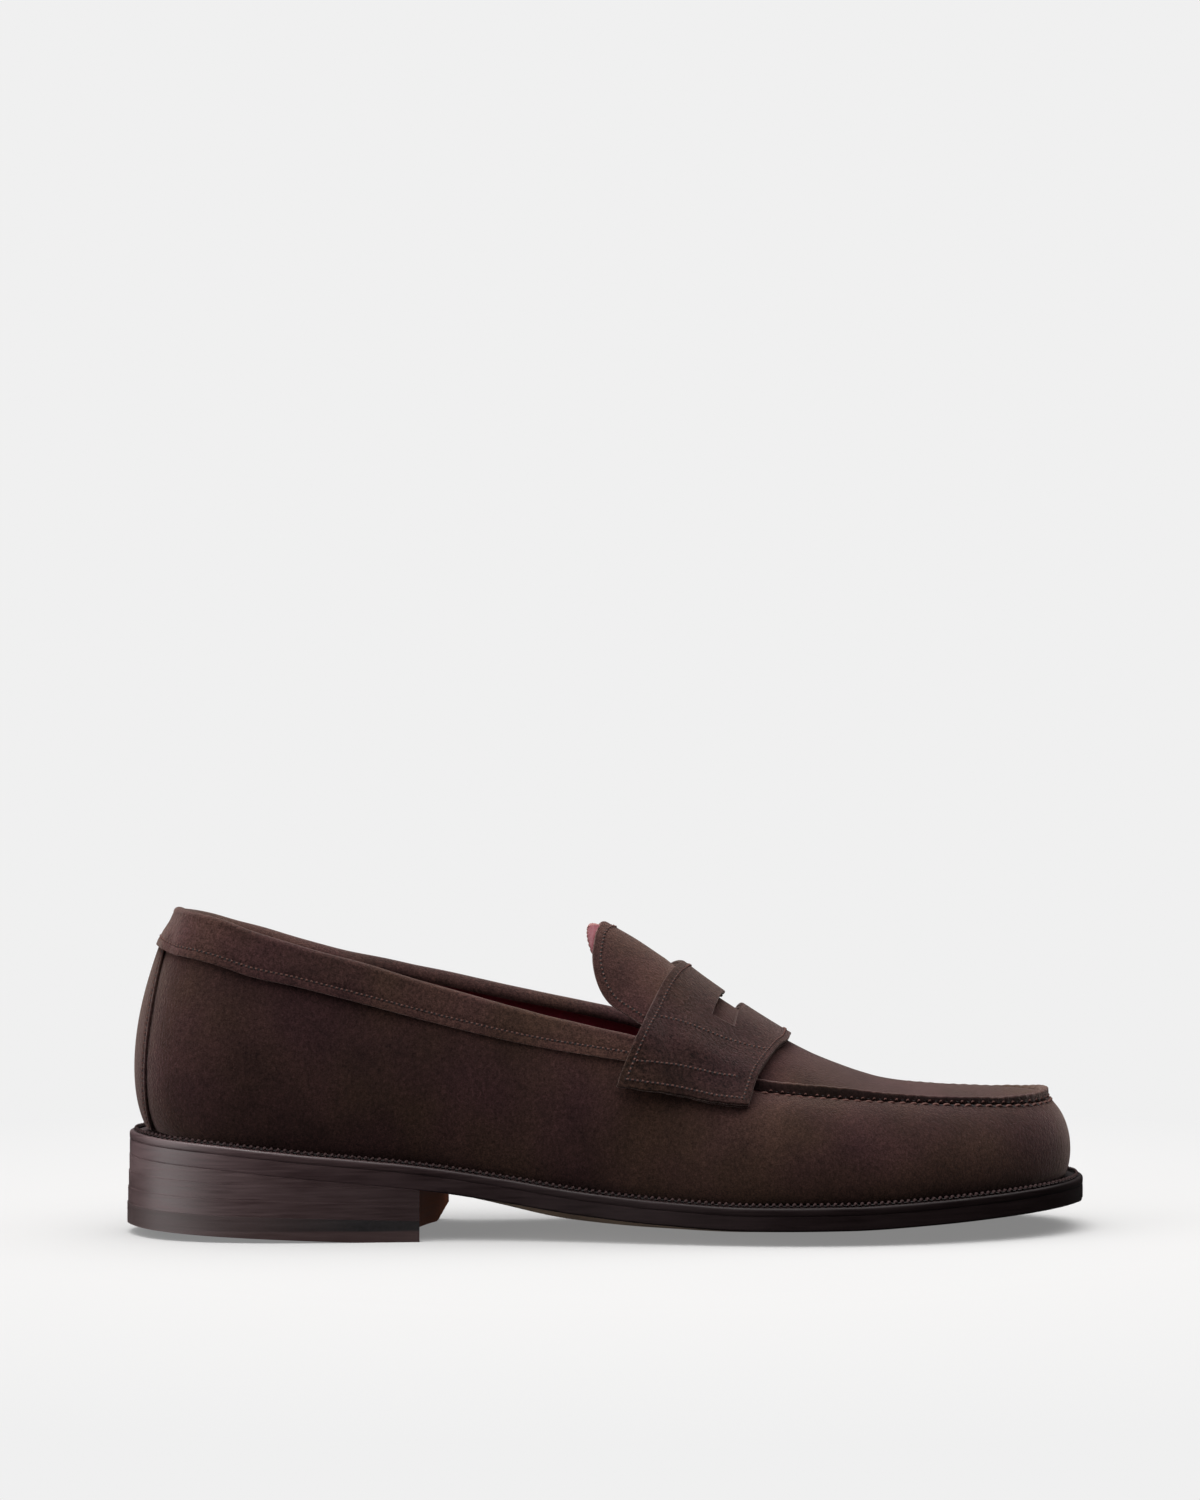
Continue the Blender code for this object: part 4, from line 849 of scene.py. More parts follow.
def lining_place(us):
    """The linings' depth: behind the stiffeners at heel and toe, close to the suede between them."""
    x = plan(us)[0][:, 0]
    packed, loose = SUEDE + STIFFENER + 2 * GAP, SUEDE + 2.4 * GAP
    return np.interp(x, (-95, -65, 80, 100), (packed, loose, loose, packed))


def make_wall_lining(name, us, drop, node):
    """The lining of the back or of the front. drop is how far below the top edge it ends."""
    depth = lining_place(us)[:, None]
    t = np.linspace(0.02, 1, 26)[None, :] * shares_below(us, drop)
    outer = wall(us[:, None], t, depth)
    inner = undulate(wall(us[:, None], t, depth + LINING), 0.3, 18.0, 4.0)
    settle(thick_sheet(name, outer, inner, LOOKS["lining"], edge=0.15), "lining", node)


def make_back_strip():
    """The strip over the back seam, wider in the middle, with its edges stitched down."""
    half = smooth([(0, 13.4), (0.35, 17.0), (0.7, 18.2), (1, 16.2)])
    rows = np.linspace(0.035, 1, 60)
    top = float(shares_below(np.array([0.0]), float(COLLAR_BAND(-151)) - 1.4)[0, 0])
    length = arc(LOOP)[-1]
    columns = np.linspace(-1, 1, 45)
    u = (-columns[:, None] * half(rows)[None, :] / length) % 1.0
    t = np.broadcast_to(rows[None, :] * top, u.shape)
    out = -GAP - BINDING
    crease = 0.22 * np.exp(-(((1 - np.abs(columns)) * 14 - BACK_ROW_INSET) / 0.5) ** 2)
    outer = undulate(wall(u, t, out + crease[:, None]), 0.25, 20.0, 2.0)
    settle(thick_sheet("suede_back_strip", outer, wall(u, t, -GAP), LOOKS["suede"]), "suede", "back_strip")
    for side, sign in (("lateral", -1), ("medial", 1)):
        column = np.interp(sign * (1 - BACK_ROW_INSET / half(rows)), columns, np.arange(len(columns)))[1:-1]
        path = sample(outer, column, np.arange(len(rows))[1:-1])
        away = wall((-sign * (half(rows) - BACK_ROW_INSET) / length) % 1.0, rows * top, -4.0)[1:-1] - path
        stitches(f"back_strip_stitching_{side}", path, away, seed=3)


COLLAR_SHARES = (1.0, 0.95, 0.9, 0.85, 0.8, 0.75, 0.68, 0.6, 0.52, 0.44, 0.36, 0.29)


def collar_rows(us, inside, out, band, grow):
    """The binding from its outer edge, over the rolled top, to its turned-in edge. grow is its thickness."""
    rows = []
    for share in COLLAR_SHARES:
        below = band * share
        groove = 0.34 * np.exp(-(((below - (band - COLLAR_ROW_INSET)) / 0.6) ** 2)) if grow else 0.0
        bulk = GAP + (out - GAP) * np.interp(share, (0.4, 0.85), (0.0, 1.0))
        rows.append(wall(us, shares_below(us, below)[:, 0], groove - bulk - grow))
    turn = shares_below(us, 2.7, 3.1, 3.8)
    start, end = wall(us, turn[:, 0], -GAP - grow), wall(us, turn[:, 0], inside + grow)
    for angle in np.linspace(0, math.pi, 13):
        point = start + (end - start) * (1 - math.cos(angle)) / 2
        point[:, 2] += (1.9 + grow) * math.sin(angle)
        rows.append(point)
    rows += [wall(us, turn[:, k], inside + grow) for k in (1, 2)]
    return np.stack(rows, 1)


def make_collar():
    """The suede binding round the opening, rolled over the top edge and stitched near its lower edge."""
    us = rear_us(COLLAR_END, 300)
    x = plan(us)[0][:, 0]
    inside = lining_place(us) + LINING + 2.7 * GAP
    out = GAP + BACK_STRIP_BULK * np.interp(np.minimum(us, 1 - us), (0.0235, 0.033), (1, 0))
    band = COLLAR_BAND(x)
    outer = undulate(collar_rows(us, inside, out, band, BINDING), 0.3, 14.0, 7.0)
    inner = collar_rows(us, inside, out, band, 0.0)
    settle(thick_sheet("suede_collar", outer, inner, LOOKS["collar"], edge=0.25), "suede", "collar_binding")
    row = np.arange(len(us))
    numbers = np.arange(len(COLLAR_SHARES))
    column = np.interp((band - COLLAR_ROW_INSET) / band, COLLAR_SHARES[::-1], numbers[::-1])
    away = sample(offset_grid(outer, -1.0) - outer, row, column)
    outwards = wall(us, 0.8, -3.0) - wall(us, 0.8)
    away *= np.sign((away * outwards).sum(1))[:, None]
    stitches("collar_stitching", sample(outer, row, column), away, seed=5)


def make_apron():
    """The apron. Its rim stands up along the hand-sewn seam, pinched a little at every stitch."""
    share = np.linspace(0, 1, 190)
    xs = APRON_REAR + (TIP_X - APRON_REAR) * np.sin(share * math.pi / 2)
    seam = {side: arc(np.array([rim_point(side, x, 0, 0) for x in xs])) for side in SIDES}
    outer, inner = [], []
    for k, x in enumerate(xs):
        rise = float(RIM_HEIGHT(x))
        flanks = {}
        for side in SIDES:
            pinch = 0.5 - 0.5 * math.cos(2 * math.pi * seam[side][k] / SEAM_PITCH)
            lean = 0.16 * (1 - pinch) + 0.12 * noise.noise(Vector((x / 9, 3 if side == "lateral" else 8, 0)))
            high = rise + 0.16 * pinch + 0.22 * noise.noise(Vector((x / 7, 5 if side == "lateral" else 1, 0)))
            rim = [
                (0.12 + lean, GAP), (0.02 + lean, 0.3 * high), (lean, 0.62 * high),
                (0.05 + lean, high - 0.45), (0.2 + lean, high - 0.12), (0.5 + lean, high),
                (1.0, high + 0.03), (1.5, high), (1.95, high - 0.16),
                (2.25, high - 0.5), (2.55, high - 0.95), (RIM_WIDTH + 0.8, rise - 1.35),
            ]
            under = [(1.5, GAP + 0.02), (1.55, GAP + 0.05), (1.6, GAP + 0.08)]
            under += [(inward, GAP + 0.1) for inward in (1.65, 1.7, 1.8, 1.9, 2.05, 2.2, 2.4, 2.6)]
            under.append((RIM_WIDTH + 1.0, 0.2))
            flanks[side] = [[rim_point(side, x, *p) for p in part] for part in (rim, under)]
        sections = []
        for part in (0, 1):
            a, b = flanks["lateral"][part], flanks["medial"][part]
            middle = across_instep(x, [a[-1].copy(), b[-1].copy()], 26)
            sections.append((a[:-1], middle, b[:-1][::-1]))
        top, low = sections[0][1], sections[1][1]
        low[:, 2] = np.minimum(low[:, 2], top[:, 2] - SUEDE)
        for target, (a, middle, b) in zip((outer, inner), sections):
            target.append(np.vstack([a, middle, b]))
    outer, inner = np.array(outer), np.array(inner)
    outer[:, 12:-12] = undulate(outer[:, 12:-12], 0.22, 22.0, 9.0)
    rows, columns = outer.shape[:2]

    def on_cut_edge(face):
        column = min(v % columns for v in face)
        place = min(column, columns - 2 - column)
        if max(face) >= rows * columns or place > 9:
            return 0
        # The rim's outer side face takes the darker cut suede as painted shade; its top takes the plain cut
        # suede.
        return 2 if place < 3 else 1

    looks = [LOOKS["suede"], LOOKS["rim"], LOOKS["rim_side"]]
    settle(thick_sheet("suede_apron", outer, inner, looks, edge=0, kind=on_cut_edge), "suede", "apron")


def seam_path(start, below, out):
    """A line along the apron seam from x = start round the toe, and the directions away from the wall."""
    us = front_us(start, 500)
    t = shares_below(us, below)[:, 0]
    path = wall(us, t, -out)
    return path, wall(us, t, -out - 3) - path


def make_apron_stitches():
    """The hand-sewn seam: long thread beans on the skirt and a small one above each gap on the rim's side."""
    path, away = seam_path(SEAM_START, 0.75, 0.05)
    thick = {"length": 2.5, "radius": 0.42, "slant": 0.08}
    stitches("apron_stitching", path, away, pitch=SEAM_PITCH, seed=11, nodes=("apron_thread",), **thick)
    low, away = seam_path(SEAM_START, 0.0, -0.05)
    low[:, 2] += 1.0
    stitches("apron_stitching_upper", low[3:], away[3:], pitch=SEAM_PITCH, radius=0.26, seed=12)


TABLE_XS = np.linspace(-12.0, 25.0, 75)
TONGUE_TABLE = np.array([
    across_instep(x, [np.array([x, edge["y"](x), edge["z"](x)]) for edge in TONGUE_EDGES], 30)
    for x in TABLE_XS
])


def tongue_rear(v):
    """x of the tongue's rear edge, v from 0 in the middle to 1 at its side edges."""
    beyond = np.clip((v - 0.62) / 0.38, 0, 1)
    swell = 1.8 * np.sin(np.clip(v / 0.45, 0, 1) * math.pi / 2)
    return TONGUE_REAR - 4.6 * v - swell + TONGUE_CORNER * (1 - np.sqrt(1 - beyond * beyond))


def tongue_surface(front, rear, v, rows, narrow=0.0):
    """The tongue's outer face, from its front edge to its rear edge, v from -1 to 1 across it."""
    start, end = front(np.abs(v)), rear(np.abs(v))
    x = start + (end - start) * rows[:, None]
    row = (x - TABLE_XS[0]) / (TABLE_XS[1] - TABLE_XS[0])
    column = np.broadcast_to((v * (1 - narrow) + 1) / 2 * (TONGUE_TABLE.shape[1] - 1), x.shape)
    return sample(TONGUE_TABLE, row, column)


def make_tongue():
    """The tongue with its stitched edge, and its lining, whose pinked edge shows behind it."""
    front = APRON_REAR - 0.5
    crosswise = np.sin(np.linspace(-1, 1, 121) * math.pi / 2)
    grid = tongue_surface(lambda s: np.full_like(s, front), tongue_rear, crosswise, np.linspace(0, 1, 70))
    sink = 0.55 * np.clip((grid[..., :1] - 18) / 5, 0, 1)
    outer = undulate(offset_grid(grid, sink), 0.35, 17.0, 21.0)
    flap = thick_sheet("suede_tongue", outer, offset_grid(outer, SUEDE), LOOKS["tongue"])
    settle(flap, "suede", "tongue", "tongue_root", body="tongue")

    def lining_rear(s):
        scallop = 0.35 * np.abs(np.sin(s * 62))
        return tongue_rear(s) + 2.0 - 3.9 * np.clip(1 - ((s - 0.4) / 0.34) ** 2, 0, 1) - scallop

    v = np.sin(np.linspace(-1, 1, 241) * math.pi / 2)
    shares = np.linspace(0, 1, 40)
    grid = tongue_surface(lambda s: TONGUE_FRONT - TONGUE_SET_BACK * s**1.15, lining_rear, v, shares, 0.04)
    rows, columns = grid.shape[:2]

    def on_cut_edge(face):
        return int(all((k % (rows * columns)) // columns == rows - 1 for k in face))

    obj = thick_sheet(
        "tongue_lining_calf", offset_grid(grid, SUEDE + 0.12), offset_grid(grid, SUEDE + GAP + LINING),
        [LOOKS["lining"], LOOKS["pinked"]], edge=0.15, kind=on_cut_edge,
    )
    settle(obj, "lining", "tongue_lining", body="tongue")

    turned = np.sin(np.linspace(-1, 1, 300) * math.pi / 2)
    x = tongue_rear(np.abs(turned)) + 2.4
    sides = np.linspace(17.0, x[0], 30)[:-1]
    x = np.concatenate([sides, x, sides[::-1]])
    across = 0.93 * np.concatenate([np.full(29, -1.0), turned, np.full(29, 1.0)])
    row = (front - x) / (front - tongue_rear(np.abs(across))) * (len(outer) - 1)
    column = np.interp(across, crosswise, np.arange(len(crosswise)))
    normal = sample(offset_grid(outer, -1.0) - outer, row, column)
    stitches("tongue_stitching", sample(outer, row, column), normal, seed=14, body="tongue")


# ---------------------------------------------------------------- the saddle strap


def upper_hull(points):
    """The taut line over (y, z) points."""
    chain = []
    for p in points[np.argsort(points[:, 0])]:
        while len(chain) > 1:
            a, b = chain[-2], chain[-1]
            if (b[0] - a[0]) * (p[1] - a[1]) - (b[1] - a[1]) * (p[0] - a[0]) >= 0:
                chain.pop()
            else:
                break
        chain.append(p)
    return np.array(chain)


def wall_at(side, x, ts, depth):
    """The wall's (y, z) in the plane at x."""
    u = np.full(len(ts), u_where(side, x))
    for _ in range(4):
        u = u_where(side, x - (wall(u, ts, depth)[:, 0] - plan(u)[0][:, 0]))
    return wall(u, ts, depth)[:, 1:]


SADDLE_DROP = smooth([(2, 17.8), (15, 16.8), (30, 13.0), (44, 10.0), (58, 8.6)])
STRAP_XS = np.linspace(1.0, 58.0, 115)


def saddle_line(x, count=181):
    """What lies under the strap at x, as a taut line of evenly spread points from outer to inner end."""
    over_collar = float(np.interp(x, (13, 20), (GAP + BINDING, 0.0)))
    over_apron = float(np.interp(x, (14, 26), (0.0, 1.0)))
    rim = float(RIM_HEIGHT(max(x, 24.0))) * over_apron
    points = []
    for side in SIDES:
        u = u_where(side, x, top=True)
        low = shares_below(np.array([float(u)]), float(SADDLE_DROP(x)))[0, 0]
        points.append(wall_at(side, x, np.linspace(low, 1.0, 40), -over_collar))
        points.append([rim_point(side, x, i, rim)[1:] for i in (0, RIM_WIDTH)])
    edges = []
    for edge, side in zip(TONGUE_EDGES, SIDES):
        free = np.array([x, edge["y"](x), edge["z"](x)])
        sewn = rim_point(side, x, RIM_WIDTH + 0.7, rim - 1.3 * over_apron)
        edges.append(free * (1 - over_apron) + sewn * over_apron)
    points.append(across_instep(x, edges, 40)[:, 1:])
    line = upper_hull(np.vstack(points))
    run = arc(line)
    top = run[np.argmax(line[:, 1])]
    a = np.linspace(-1, 1, count)
    at = np.where(a < 0, top * (1 + a), top + (run[-1] - top) * a)
    return np.stack([np.full(count, x), np.interp(at, run, line[:, 0]), np.interp(at, run, line[:, 1])], 1)


def blur(grid, reach, axis):
    """The grid averaged over its neighbours along one axis, its ends kept."""
    offsets = np.arange(-reach * 2, reach * 2 + 1)
    weights = np.exp(-((offsets / reach) ** 2))
    weights /= weights.sum()
    moved = np.moveaxis(grid, axis, 0)
    last = len(moved) - 1
    out = np.zeros_like(moved)
    for o, w in zip(offsets, weights):
        place = np.arange(last + 1) + o
        value = moved[np.clip(place, 0, last)]
        for beyond, end, back in ((place < 0, 0, -place), (place > last, last, 2 * last - place)):
            value = np.where(beyond[:, None, None], 2 * moved[end] - moved[np.clip(back, 0, last)], value)
        out += value * w
    return np.moveaxis(out, 0, axis)


def make_saddle():
    """The strap and its backing: one outline with the lens-shaped slot through both, and the stitch rows."""
    table = np.array([saddle_line(x) for x in STRAP_XS])
    table = blur(blur(table, 3, 1), 2, 0)
    rear, front = smooth(SADDLE_REAR), smooth(SADDLE_FRONT)
    slot_rear, slot_front = smooth(SLOT_REAR), smooth(SLOT_FRONT)
    lateral_half = np.concatenate([np.linspace(-1, -SLOT[2], 46)[:-1], np.linspace(-SLOT[2], 0, 33)])
    a = np.concatenate([lateral_half, -lateral_half[-2::-1]])
    parts = ((0, SLOT[0], 25), (SLOT[0], SLOT[1], 11), (SLOT[1], 1, 31))
    p = np.concatenate([*(np.linspace(*part)[:-1] for part in parts), [1.0]])
    size = np.abs(a)
    first, last = rear(size), front(size)
    straight = [first + (last - first) * s for s in SLOT[:2]]
    near = np.interp(size, (SLOT[2], 0.62), (1, 0))
    held = np.minimum(size, SLOT[2])
    pairs = zip(straight, (slot_rear, slot_front))
    knots = [first, *(s * (1 - near) + f(held) * near for s, f in pairs), last]

    def x_at(share):
        return np.array([np.interp(share, (0, *SLOT[:2], 1), [k[j] for k in knots]) for j in range(len(a))])

    x = np.array([x_at(s) for s in p])
    wave = 0.0045 * np.sin(x * 2 * math.pi / 9.0) * (size[None, :] > 0.97)
    row = (x - STRAP_XS[0]) / (STRAP_XS[1] - STRAP_XS[0])
    column = (a[None, :] * (1 + wave) + 1) / 2 * (table.shape[1] - 1)
    resting = sample(table, row, column)
    joint = SADDLE_CLEARANCE + SADDLE_BACKING
    levels = [offset_grid(resting, -h) for h in (0.45, joint + 0.05, joint + 0.1, STRAP_FACE)]
    top = undulate(levels[3], 0.22, 12.0, 31.0)
    middle = len(a) // 2
    hole = (24, 34, middle - 32, middle + 32)
    backing = thick_sheet("suede_strap_backing", levels[1], levels[0], LOOKS["suede"], hole=hole, edge=0.2)
    settle(backing, "suede", "saddle_backing")
    strap = thick_sheet("suede_strap", top, levels[2], LOOKS["strap"], hole=hole, edge=0.38)
    settle(strap, "suede", "saddle_strap")
    normal = offset_grid(top, -1.0) - top

    def row_of(name, path, seed):
        """path holds (share from rear to front, share out from the crest), negative on the outer side."""
        path = np.array(path, float)
        run = arc(path * (30, 60))
        dense = np.linspace(0, run[-1], 160)
        share, out = np.interp(dense, run, path[:, 0]), np.interp(dense, run, path[:, 1])
        i, j = np.interp(share, p, np.arange(len(p))), np.interp(out, a, np.arange(len(a)))
        away = sample(normal, i, j)
        stitches(name, sample(top, i, j) - away * 0.03, away, seed=seed)

    rows = (
        ("low", ((0.045, 0.955), (0.955, 0.955))),
        ("middle", ((0.06, 0.862), (0.84, 0.8))),
        ("high", ((0.08, 0.583), (0.3, 0.56), (0.62, 0.52), (0.93, 0.49))),
    )
    for side, sign in (("lateral", -1), ("medial", 1)):
        for seed, (name, path) in enumerate(rows, 41):
            row_of(f"strap_row_{name}_{side}", [(share, sign * out) for share, out in path], seed)
    for name, share, seed in (("rear", 0.055, 44), ("front", 0.945, 45)):
        row_of(f"strap_edge_row_{name}", [(share, -0.94), (share, 0.0), (share, 0.94)], seed)


# ---------------------------------------------------------------- sole and heel


def outline_y(x):
    """The sole outline's y on the outer and on the inner side at x."""
    lateral, medial = plan(LATERAL_U)[0], plan(MEDIAL_U)[0]
    return [np.interp(x, np.maximum.accumulate(s[:, 0]), s[:, 1]) for s in (lateral, medial)]


def underside(x, y, raise_by=0.0):
    """The outsole's lower surface, hanging below its edge in the middle. raise_by gives its upper surface."""
    low, high = outline_y(x)
    v = np.clip(2 * (y - low) / np.maximum(high - low, 1e-6) - 1, -1, 1)
    return WELT_TOP(x) - SOLE_STACK - CAMBER(x) * (1 - v * v) ** 1.5 + raise_by


def edge_and_spine(count, inset, back, front):
    """Points round the sole's edge, and for each one the place on the middle line that it looks in to."""
    edge = plan(spread(np.linspace(0, 1, count))[:-1], inset)[0]
    x = np.clip(edge[:, 0], back, front)
    return edge, np.stack([x, sum(outline_y(x)) / 2], 1)


FIRST_TREAD_ROW = 16  # of the outsole's cross-section, where the burnished edge ends


def make_outsole():
    """The outsole, with a rounded lower corner, a burnished edge and the stitch channel's groove below."""
    edge, spine = edge_and_spine(721, 0.0, -122, 118)
    inward = spine - edge
    reach = np.linalg.norm(inward, axis=1)
    inward /= reach[:, None]
    wave = np.array([noise.noise(Vector((*q, 0)) / 13) for q in edge])
    thick = SOLE_STACK - WELT_THICK - 0.01
    rows = []

    def ring(inset, up, top=False):
        q = edge + inward * np.broadcast_to(inset, reach.shape)[:, None]
        z = underside(q[:, 0], q[:, 1], thick if top else 0.0) + up
        rows.append(np.column_stack([q, z]))

    for share in (0.999, 0.8, 0.6, 0.4):
        ring(reach * share, 0.0, True)
    for inset, up in ((12.0, 0.0), (6.0, 0.0), (1.0, 0.0), (0.1, 0.0), (0.02, -0.05)):
        ring(inset, up, True)
    for share in (0.12, 0.3, 0.5, 0.7, 0.88):
        bow = -0.05 * math.sin(share * math.pi) - 0.05 * wave
        ring(bow, -thick * share, True)
    free = np.interp(edge[:, 0], (-60, -48), (0.06, 1.0))
    for inset, up in ((0.02, 0.62), (0.22, 0.28), (0.62, 0.08)):
        ring(inset * free, up * free)
    for inset, up in ((1.2, 0.0), (3.6, 0.0), (3.9, 0.12), (4.2, 0.0)):
        ring(inset, up)
    for share in (0.2, 0.35, 0.5, 0.65, 0.8, 0.9, 0.999):
        ring(np.maximum(reach * share, 4.5), 0.0)
    sections = np.stack(rows, 1)
    count = sections.shape[1]

    def below_edge(face):
        return int(min(v % count for v in face) >= FIRST_TREAD_ROW)

    obj = closed_section("leather_outsole", sections, [LOOKS["edge"], LOOKS["tread"]], kind=below_edge)
    settle(obj, "sole_leather", "outsole")


def make_welt():
    """The welt: a rounded edge, and the wheeled ridges that its stitches lie between."""
    length = arc(LOOP)[-1]
    count = int(length / 0.42)
    us = np.linspace(0, 1, count, endpoint=False)
    phase = 2 * math.pi * us * round(length / WELT_PITCH)
    ridge = 0.2 * (0.5 + 0.5 * np.cos(phase))
    edge_wave = np.array([noise.noise(Vector((*q, 4)) / 11) for q in plan(us)[0]]) * 0.05
    section = (
        (WELT_WIDTH, -WELT_THICK, 0), (8.0, -WELT_THICK, 0), (4.0, -WELT_THICK, 0), (0.6, -WELT_THICK, 0),
        (0.05, -WELT_THICK + 0.01, 0), (0.0, -WELT_THICK + 0.07, 0), (-0.06, -1.9, 0), (-0.08, -1.3, 0),
        (-0.05, -0.85, 0), (0.06, -0.5, 0), (0.3, -0.22, 0), (0.7, -0.04, 0.3), (1.3, 0.02, 0.9),
        (1.9, 0.04, 1.0), (2.6, -0.1, 1.0), (3.3, 0.02, 0.8), (3.9, 0.0, 0.1), (5.0, 0.0, 0), (6.5, 0.0, 0),
        (9.0, 0.0, 0), (WELT_WIDTH, 0.0, 0),
    )
    rows = []
    for inset, above, ridged in section:
        q = plan(us, inset + (edge_wave if inset < 0.3 else 0.0))[0]
        rows.append(np.column_stack([q, WELT_TOP(q[:, 0]) + above - ridge * ridged]))
    settle(closed_section("stitched_welt", np.stack(rows, 1), LOOKS["edge"], 55), "welt_edge", "welt")
    q = plan(np.linspace(0, 1, 1400), 1.9)[0]
    path = np.column_stack([q, WELT_TOP(q[:, 0]) + 0.3])
    up = np.tile([0.0, 0.0, 1.0], (len(q), 1))
    thick = {"length": 1.35, "radius": 0.55, "slant": 0.25}
    stitches("welt_stitching", path, up, "welt_thread", WELT_PITCH, seed=51, nodes=("welt_thread",), **thick)


def heel_plan(z, start_lateral, start_medial, hollow, rows=72, columns=44):
    """A grid over the heel's plan at a height z, from its hollowed front to its back."""
    flare = HEEL_FLARE * max(0.0, 1 - z / 22.0)
    lateral = plan(np.linspace(u_where("lateral", start_lateral), 0, rows + 1), -flare)[0]
    medial = plan(np.linspace(u_where("medial", start_medial), 1, rows + 1), -flare)[0]
    across = (1 - np.cos(np.linspace(0, math.pi, columns + 1))) / 2
    grid = lateral[:, None] + (medial - lateral)[:, None] * across[None, :, None]
    fade = (1 - np.linspace(0, 1, rows + 1)) ** 3
    bow = hollow * 4 * across * (1 - across)
    return grid + fade[:, None, None] * bow[None, :, None] * np.array([-1.0, -0.12])


def lift_plane(x, level):
    """The height of the joint above the top piece and so many lifts."""
    return TOP_PIECE + level * (LIFT + GAP) + HEEL_TILT * (BREAST_LATERAL - x)


def heel_piece(
    name, node, slot, low, high, look, z, start=(BREAST_LATERAL, BREAST_MEDIAL),
    hollow=BREAST_HOLLOW, notch=False,
):
    """One layer of the heel, its faces following the flare, and its front stained like the breast."""
    grid = heel_plan(z, *start, hollow)
    x, y = grid[..., 0], grid[..., 1]
    roof = underside(x, y) - 0.01
    top, bottom = np.minimum(high(x), roof), low(x)
    upper, lower = np.dstack([grid, top]), np.dstack([grid, np.minimum(bottom, top - 0.02)])
    if notch:
        corner = grid[0, -1]
        cut = np.clip(((x - corner[0]) + 0.62 * (y - corner[1])) / 8.0 + 1.0, 0, 1)
        near = (np.hypot(x - corner[0], y - corner[1]) < 11) * cut
        lower[..., 2] += near * (TOP_PIECE - 0.9)
    rows, columns = x.shape

    def on_breast(face):
        return int(all((k % (rows * columns)) < columns for k in face))

    obj = thick_sheet(name, upper, lower, [look, LOOKS["breast"]], edge=0.035, kind=on_breast)
    return settle(obj, slot, node)


def make_heel():
    """The top piece, two lifts and the wedge that fills up to the sloping outsole."""
    slope = TREAD_BACK_RISE / (TREAD_FLAT_END + 151)

    def tread(x):
        return np.maximum((TREAD_FLAT_END - x) * slope, 0.0)

    def joint(level, above=0.0):
        return lambda x: lift_plane(x, level) + above

    wedge_start = (WEDGE_START, WEDGE_START)
    top, stack = ("top_piece", LOOKS["top_piece"]), ("heel_stack", LOOKS["stack"])
    heel_piece("heel_tread_layer", "heel_top_piece", top[0], tread, joint(0), top[1], 3, notch=True)
    heel_piece("heel_lift_first", "heel_lift_lower", stack[0], joint(0, 0.01), joint(1), stack[1], 8.5)
    heel_piece("heel_lift_second", "heel_lift_upper", stack[0], joint(1, 0.01), joint(2), stack[1], 13.5)
    low, high = joint(2, 0.01), joint(20)
    heel_piece("heel_wedge_lift", "heel_wedge", stack[0], low, high, stack[1], 18.5, wedge_start, 0)


def make_sock():
    """The sock lining over the insole, with a slightly dished surface."""
    inset = float(FOOT_IN(0)) + SUEDE + STIFFENER + LINING + 4 * GAP + 0.5
    edge, spine = edge_and_spine(361, inset, -118, 114)
    rows = []
    section = (
        (1.0, 0), (0.75, 0), (0.5, 0), (0.25, 0), (0.06, 0), (0.0, 0.15), (0.0, 0.8), (0.03, SOCK_THICK),
        (0.2, SOCK_THICK), (0.45, 0.95), (0.7, 0.85), (1.0, 0.8),
    )
    for share, up in section:
        q = edge + (spine - edge) * min(share, 0.999)
        rows.append(np.column_stack([q, WELT_TOP(q[:, 0]) + 2 * GAP + INSOLE_THICK + up]))
    settle(closed_section("sock_lining_calf", np.stack(rows, 1), LOOKS["lining"]), "lining", "sock_lining")


def finish_inner_pieces():
    """The pieces inside the shoe keep their solids and take their own materials."""
    inner = {
        "apron_lining": "lining", "heel_counter": "board", "toe_puff": "board", "insole": "insole",
        "insole_rib": "canvas", "cork_filler": "cork", "shank": "steel",
        **{f"heel_pin_{k}": "brass" for k in range(1, 7)},
    }
    for node, look in inner.items():
        for material_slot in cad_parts[node].material_slots:
            material_slot.material = LOOKS[look]


# ---------------------------------------------------------------- studio


def light_level(nodes, links, direction, axis, start, end, power):
    """How much of a soft light lobe is seen in a direction."""
    dot = nodes.new("ShaderNodeVectorMath")
    dot.operation = "DOT_PRODUCT"
    dot.inputs[1].default_value = Vector(axis).normalized()
    links.new(direction, dot.inputs[0])
    ramp = nodes.new("ShaderNodeMapRange")
    ramp.interpolation_type = "SMOOTHSTEP"
    for key, value in (("From Min", start), ("From Max", end), ("To Min", 0.0), ("To Max", power)):
        ramp.inputs[key].default_value = value
    links.new(dot.outputs["Value"], ramp.inputs["Value"])
    return ramp.outputs["Result"]


BACKDROP = 0.871
AMBIENT = 0.055
# The soft lights, overhead and behind the heel: direction, cosines where each begins and is full, and power
LOBES = (((0.0, -0.02, 1.0), 0.5, 1.0, 4.8), ((-0.93, -0.34, 0.15), 0.72, 1.0, 3.2))
FLOOR_ALBEDO = 0.365


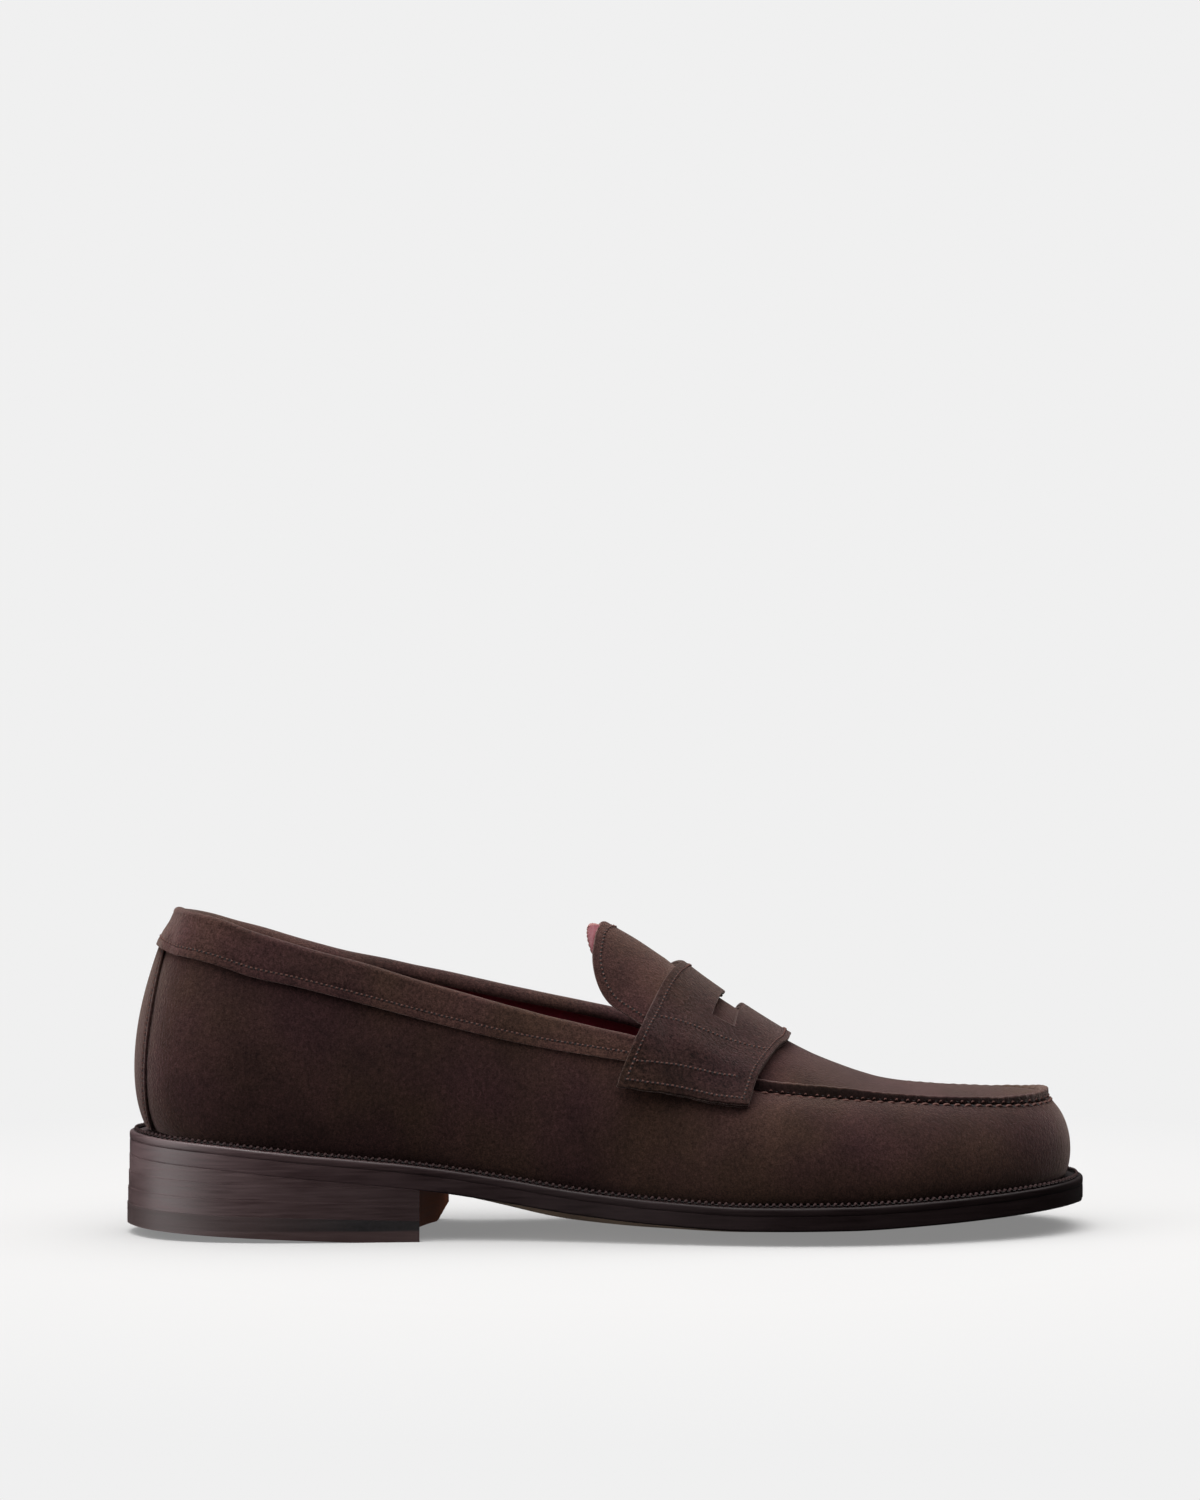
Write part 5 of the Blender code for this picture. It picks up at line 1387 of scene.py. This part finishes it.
def make_studio():
    """A pale floor and backdrop, soft light, a weak wide sun for the contact shadow, and the camera."""
    scene = bpy.context.scene
    world = bpy.data.worlds.new("studio")
    scene.world = world
    world.use_nodes = True
    nodes, links = world.node_tree.nodes, world.node_tree.links
    background = nodes["Background"]
    direction = nodes.new("ShaderNodeTexCoord").outputs["Generated"]
    total = None
    for axis, start, end, power in LOBES:
        level = light_level(nodes, links, direction, axis, start, end, power)
        if total is None:
            total = level
            continue
        both = nodes.new("ShaderNodeMath")
        links.new(total, both.inputs[0])
        links.new(level, both.inputs[1])
        total = both.outputs[0]
    plus = nodes.new("ShaderNodeMath")
    plus.inputs[1].default_value = AMBIENT
    links.new(total, plus.inputs[0])
    links.new(plus.outputs[0], background.inputs["Strength"])
    background.inputs["Color"].default_value = (1, 0.99, 0.985, 1)

    emission = {"Color": (BACKDROP, BACKDROP, BACKDROP, 1), "Strength": 1.0}
    floor_look = Shader("studio_floor", 0.9, Specular_IOR_Level=0.0)
    glow = floor_look.node("ShaderNodeEmission", emission)
    reach = floor_look.node("ShaderNodeVectorMath", {0: floor_look.place}, operation="LENGTH")
    tone = floor_look.level(floor_look.noise(900, 2.0), FLOOR_ALBEDO * 0.995, FLOOR_ALBEDO * 1.005)
    floor_look.wire("Base Color", floor_look.grey(tone))
    # The floor glows fully far from the shoe, as an evenly bright floor, and by a quarter near it, as painted
    # light that lifts the contact shadow.
    far = floor_look.level(reach.outputs["Value"], 0.25, 1.0, 0.19, 0.42)
    blend = {0: far, 1: floor_look.principled.outputs[0], 2: glow.outputs[0]}
    mixed = floor_look.node("ShaderNodeMixShader", blend)
    output = floor_look.tree.nodes["Material Output"]
    floor_look.tree.links.new(mixed.outputs[0], output.inputs["Surface"])
    corners = [(-9000, -9000, 0), (9000, -9000, 0), (9000, 9000, 0), (-9000, 9000, 0)]
    stage = [add_mesh("floor", corners, [[0, 1, 2, 3]], floor_look.material)]
    wall_look = Shader("studio_backdrop", 0.9)
    glow = wall_look.node("ShaderNodeEmission", emission)
    wall_look.tree.links.new(glow.outputs[0], wall_look.tree.nodes["Material Output"].inputs["Surface"])
    corners = [(-4000, 6000, -200), (4000, 6000, -200), (4000, 6000, 5000), (-4000, 6000, 5000)]
    stage.append(add_mesh("backdrop", corners, [[0, 1, 2, 3]], wall_look.material))
    for piece in stage:
        piece.visible_diffuse = False
        piece.visible_glossy = False

    lamp = bpy.data.lights.new("window", "SUN")
    lamp.energy = 1.0
    lamp.angle = math.radians(30)
    lamp.color = (1, 0.985, 0.97)
    sun = bpy.data.objects.new("window", lamp)
    sun.rotation_euler = Vector((-0.2, -0.15, 0.96)).to_track_quat("Z", "Y").to_euler()
    scene.collection.objects.link(sun)

    lens = bpy.data.cameras.new("camera")
    lens.sensor_fit = "VERTICAL"
    lens.sensor_height = 36
    lens.lens = 113.08
    lens.clip_start, lens.clip_end = 0.05, 20
    camera = bpy.data.objects.new("camera", lens)
    camera.location = (0, -1.4943, 0.1757)
    camera.rotation_euler = (math.radians(89.075), 0, math.radians(0.103))
    scene.collection.objects.link(camera)
    scene.camera = camera
    scene.view_settings.view_transform = "Standard"


make_skirt()
make_wall_lining("quarter_lining_calf", rear_us(16.0, 260), 2.2, "quarter_lining")
make_wall_lining("vamp_lining_calf", front_us(17.5, 260), 1.0, "vamp_lining")
make_back_strip()
make_collar()
make_apron()
make_apron_stitches()
make_tongue()
make_saddle()
make_outsole()
make_welt()
make_heel()
make_sock()
finish_inner_pieces()
make_studio()
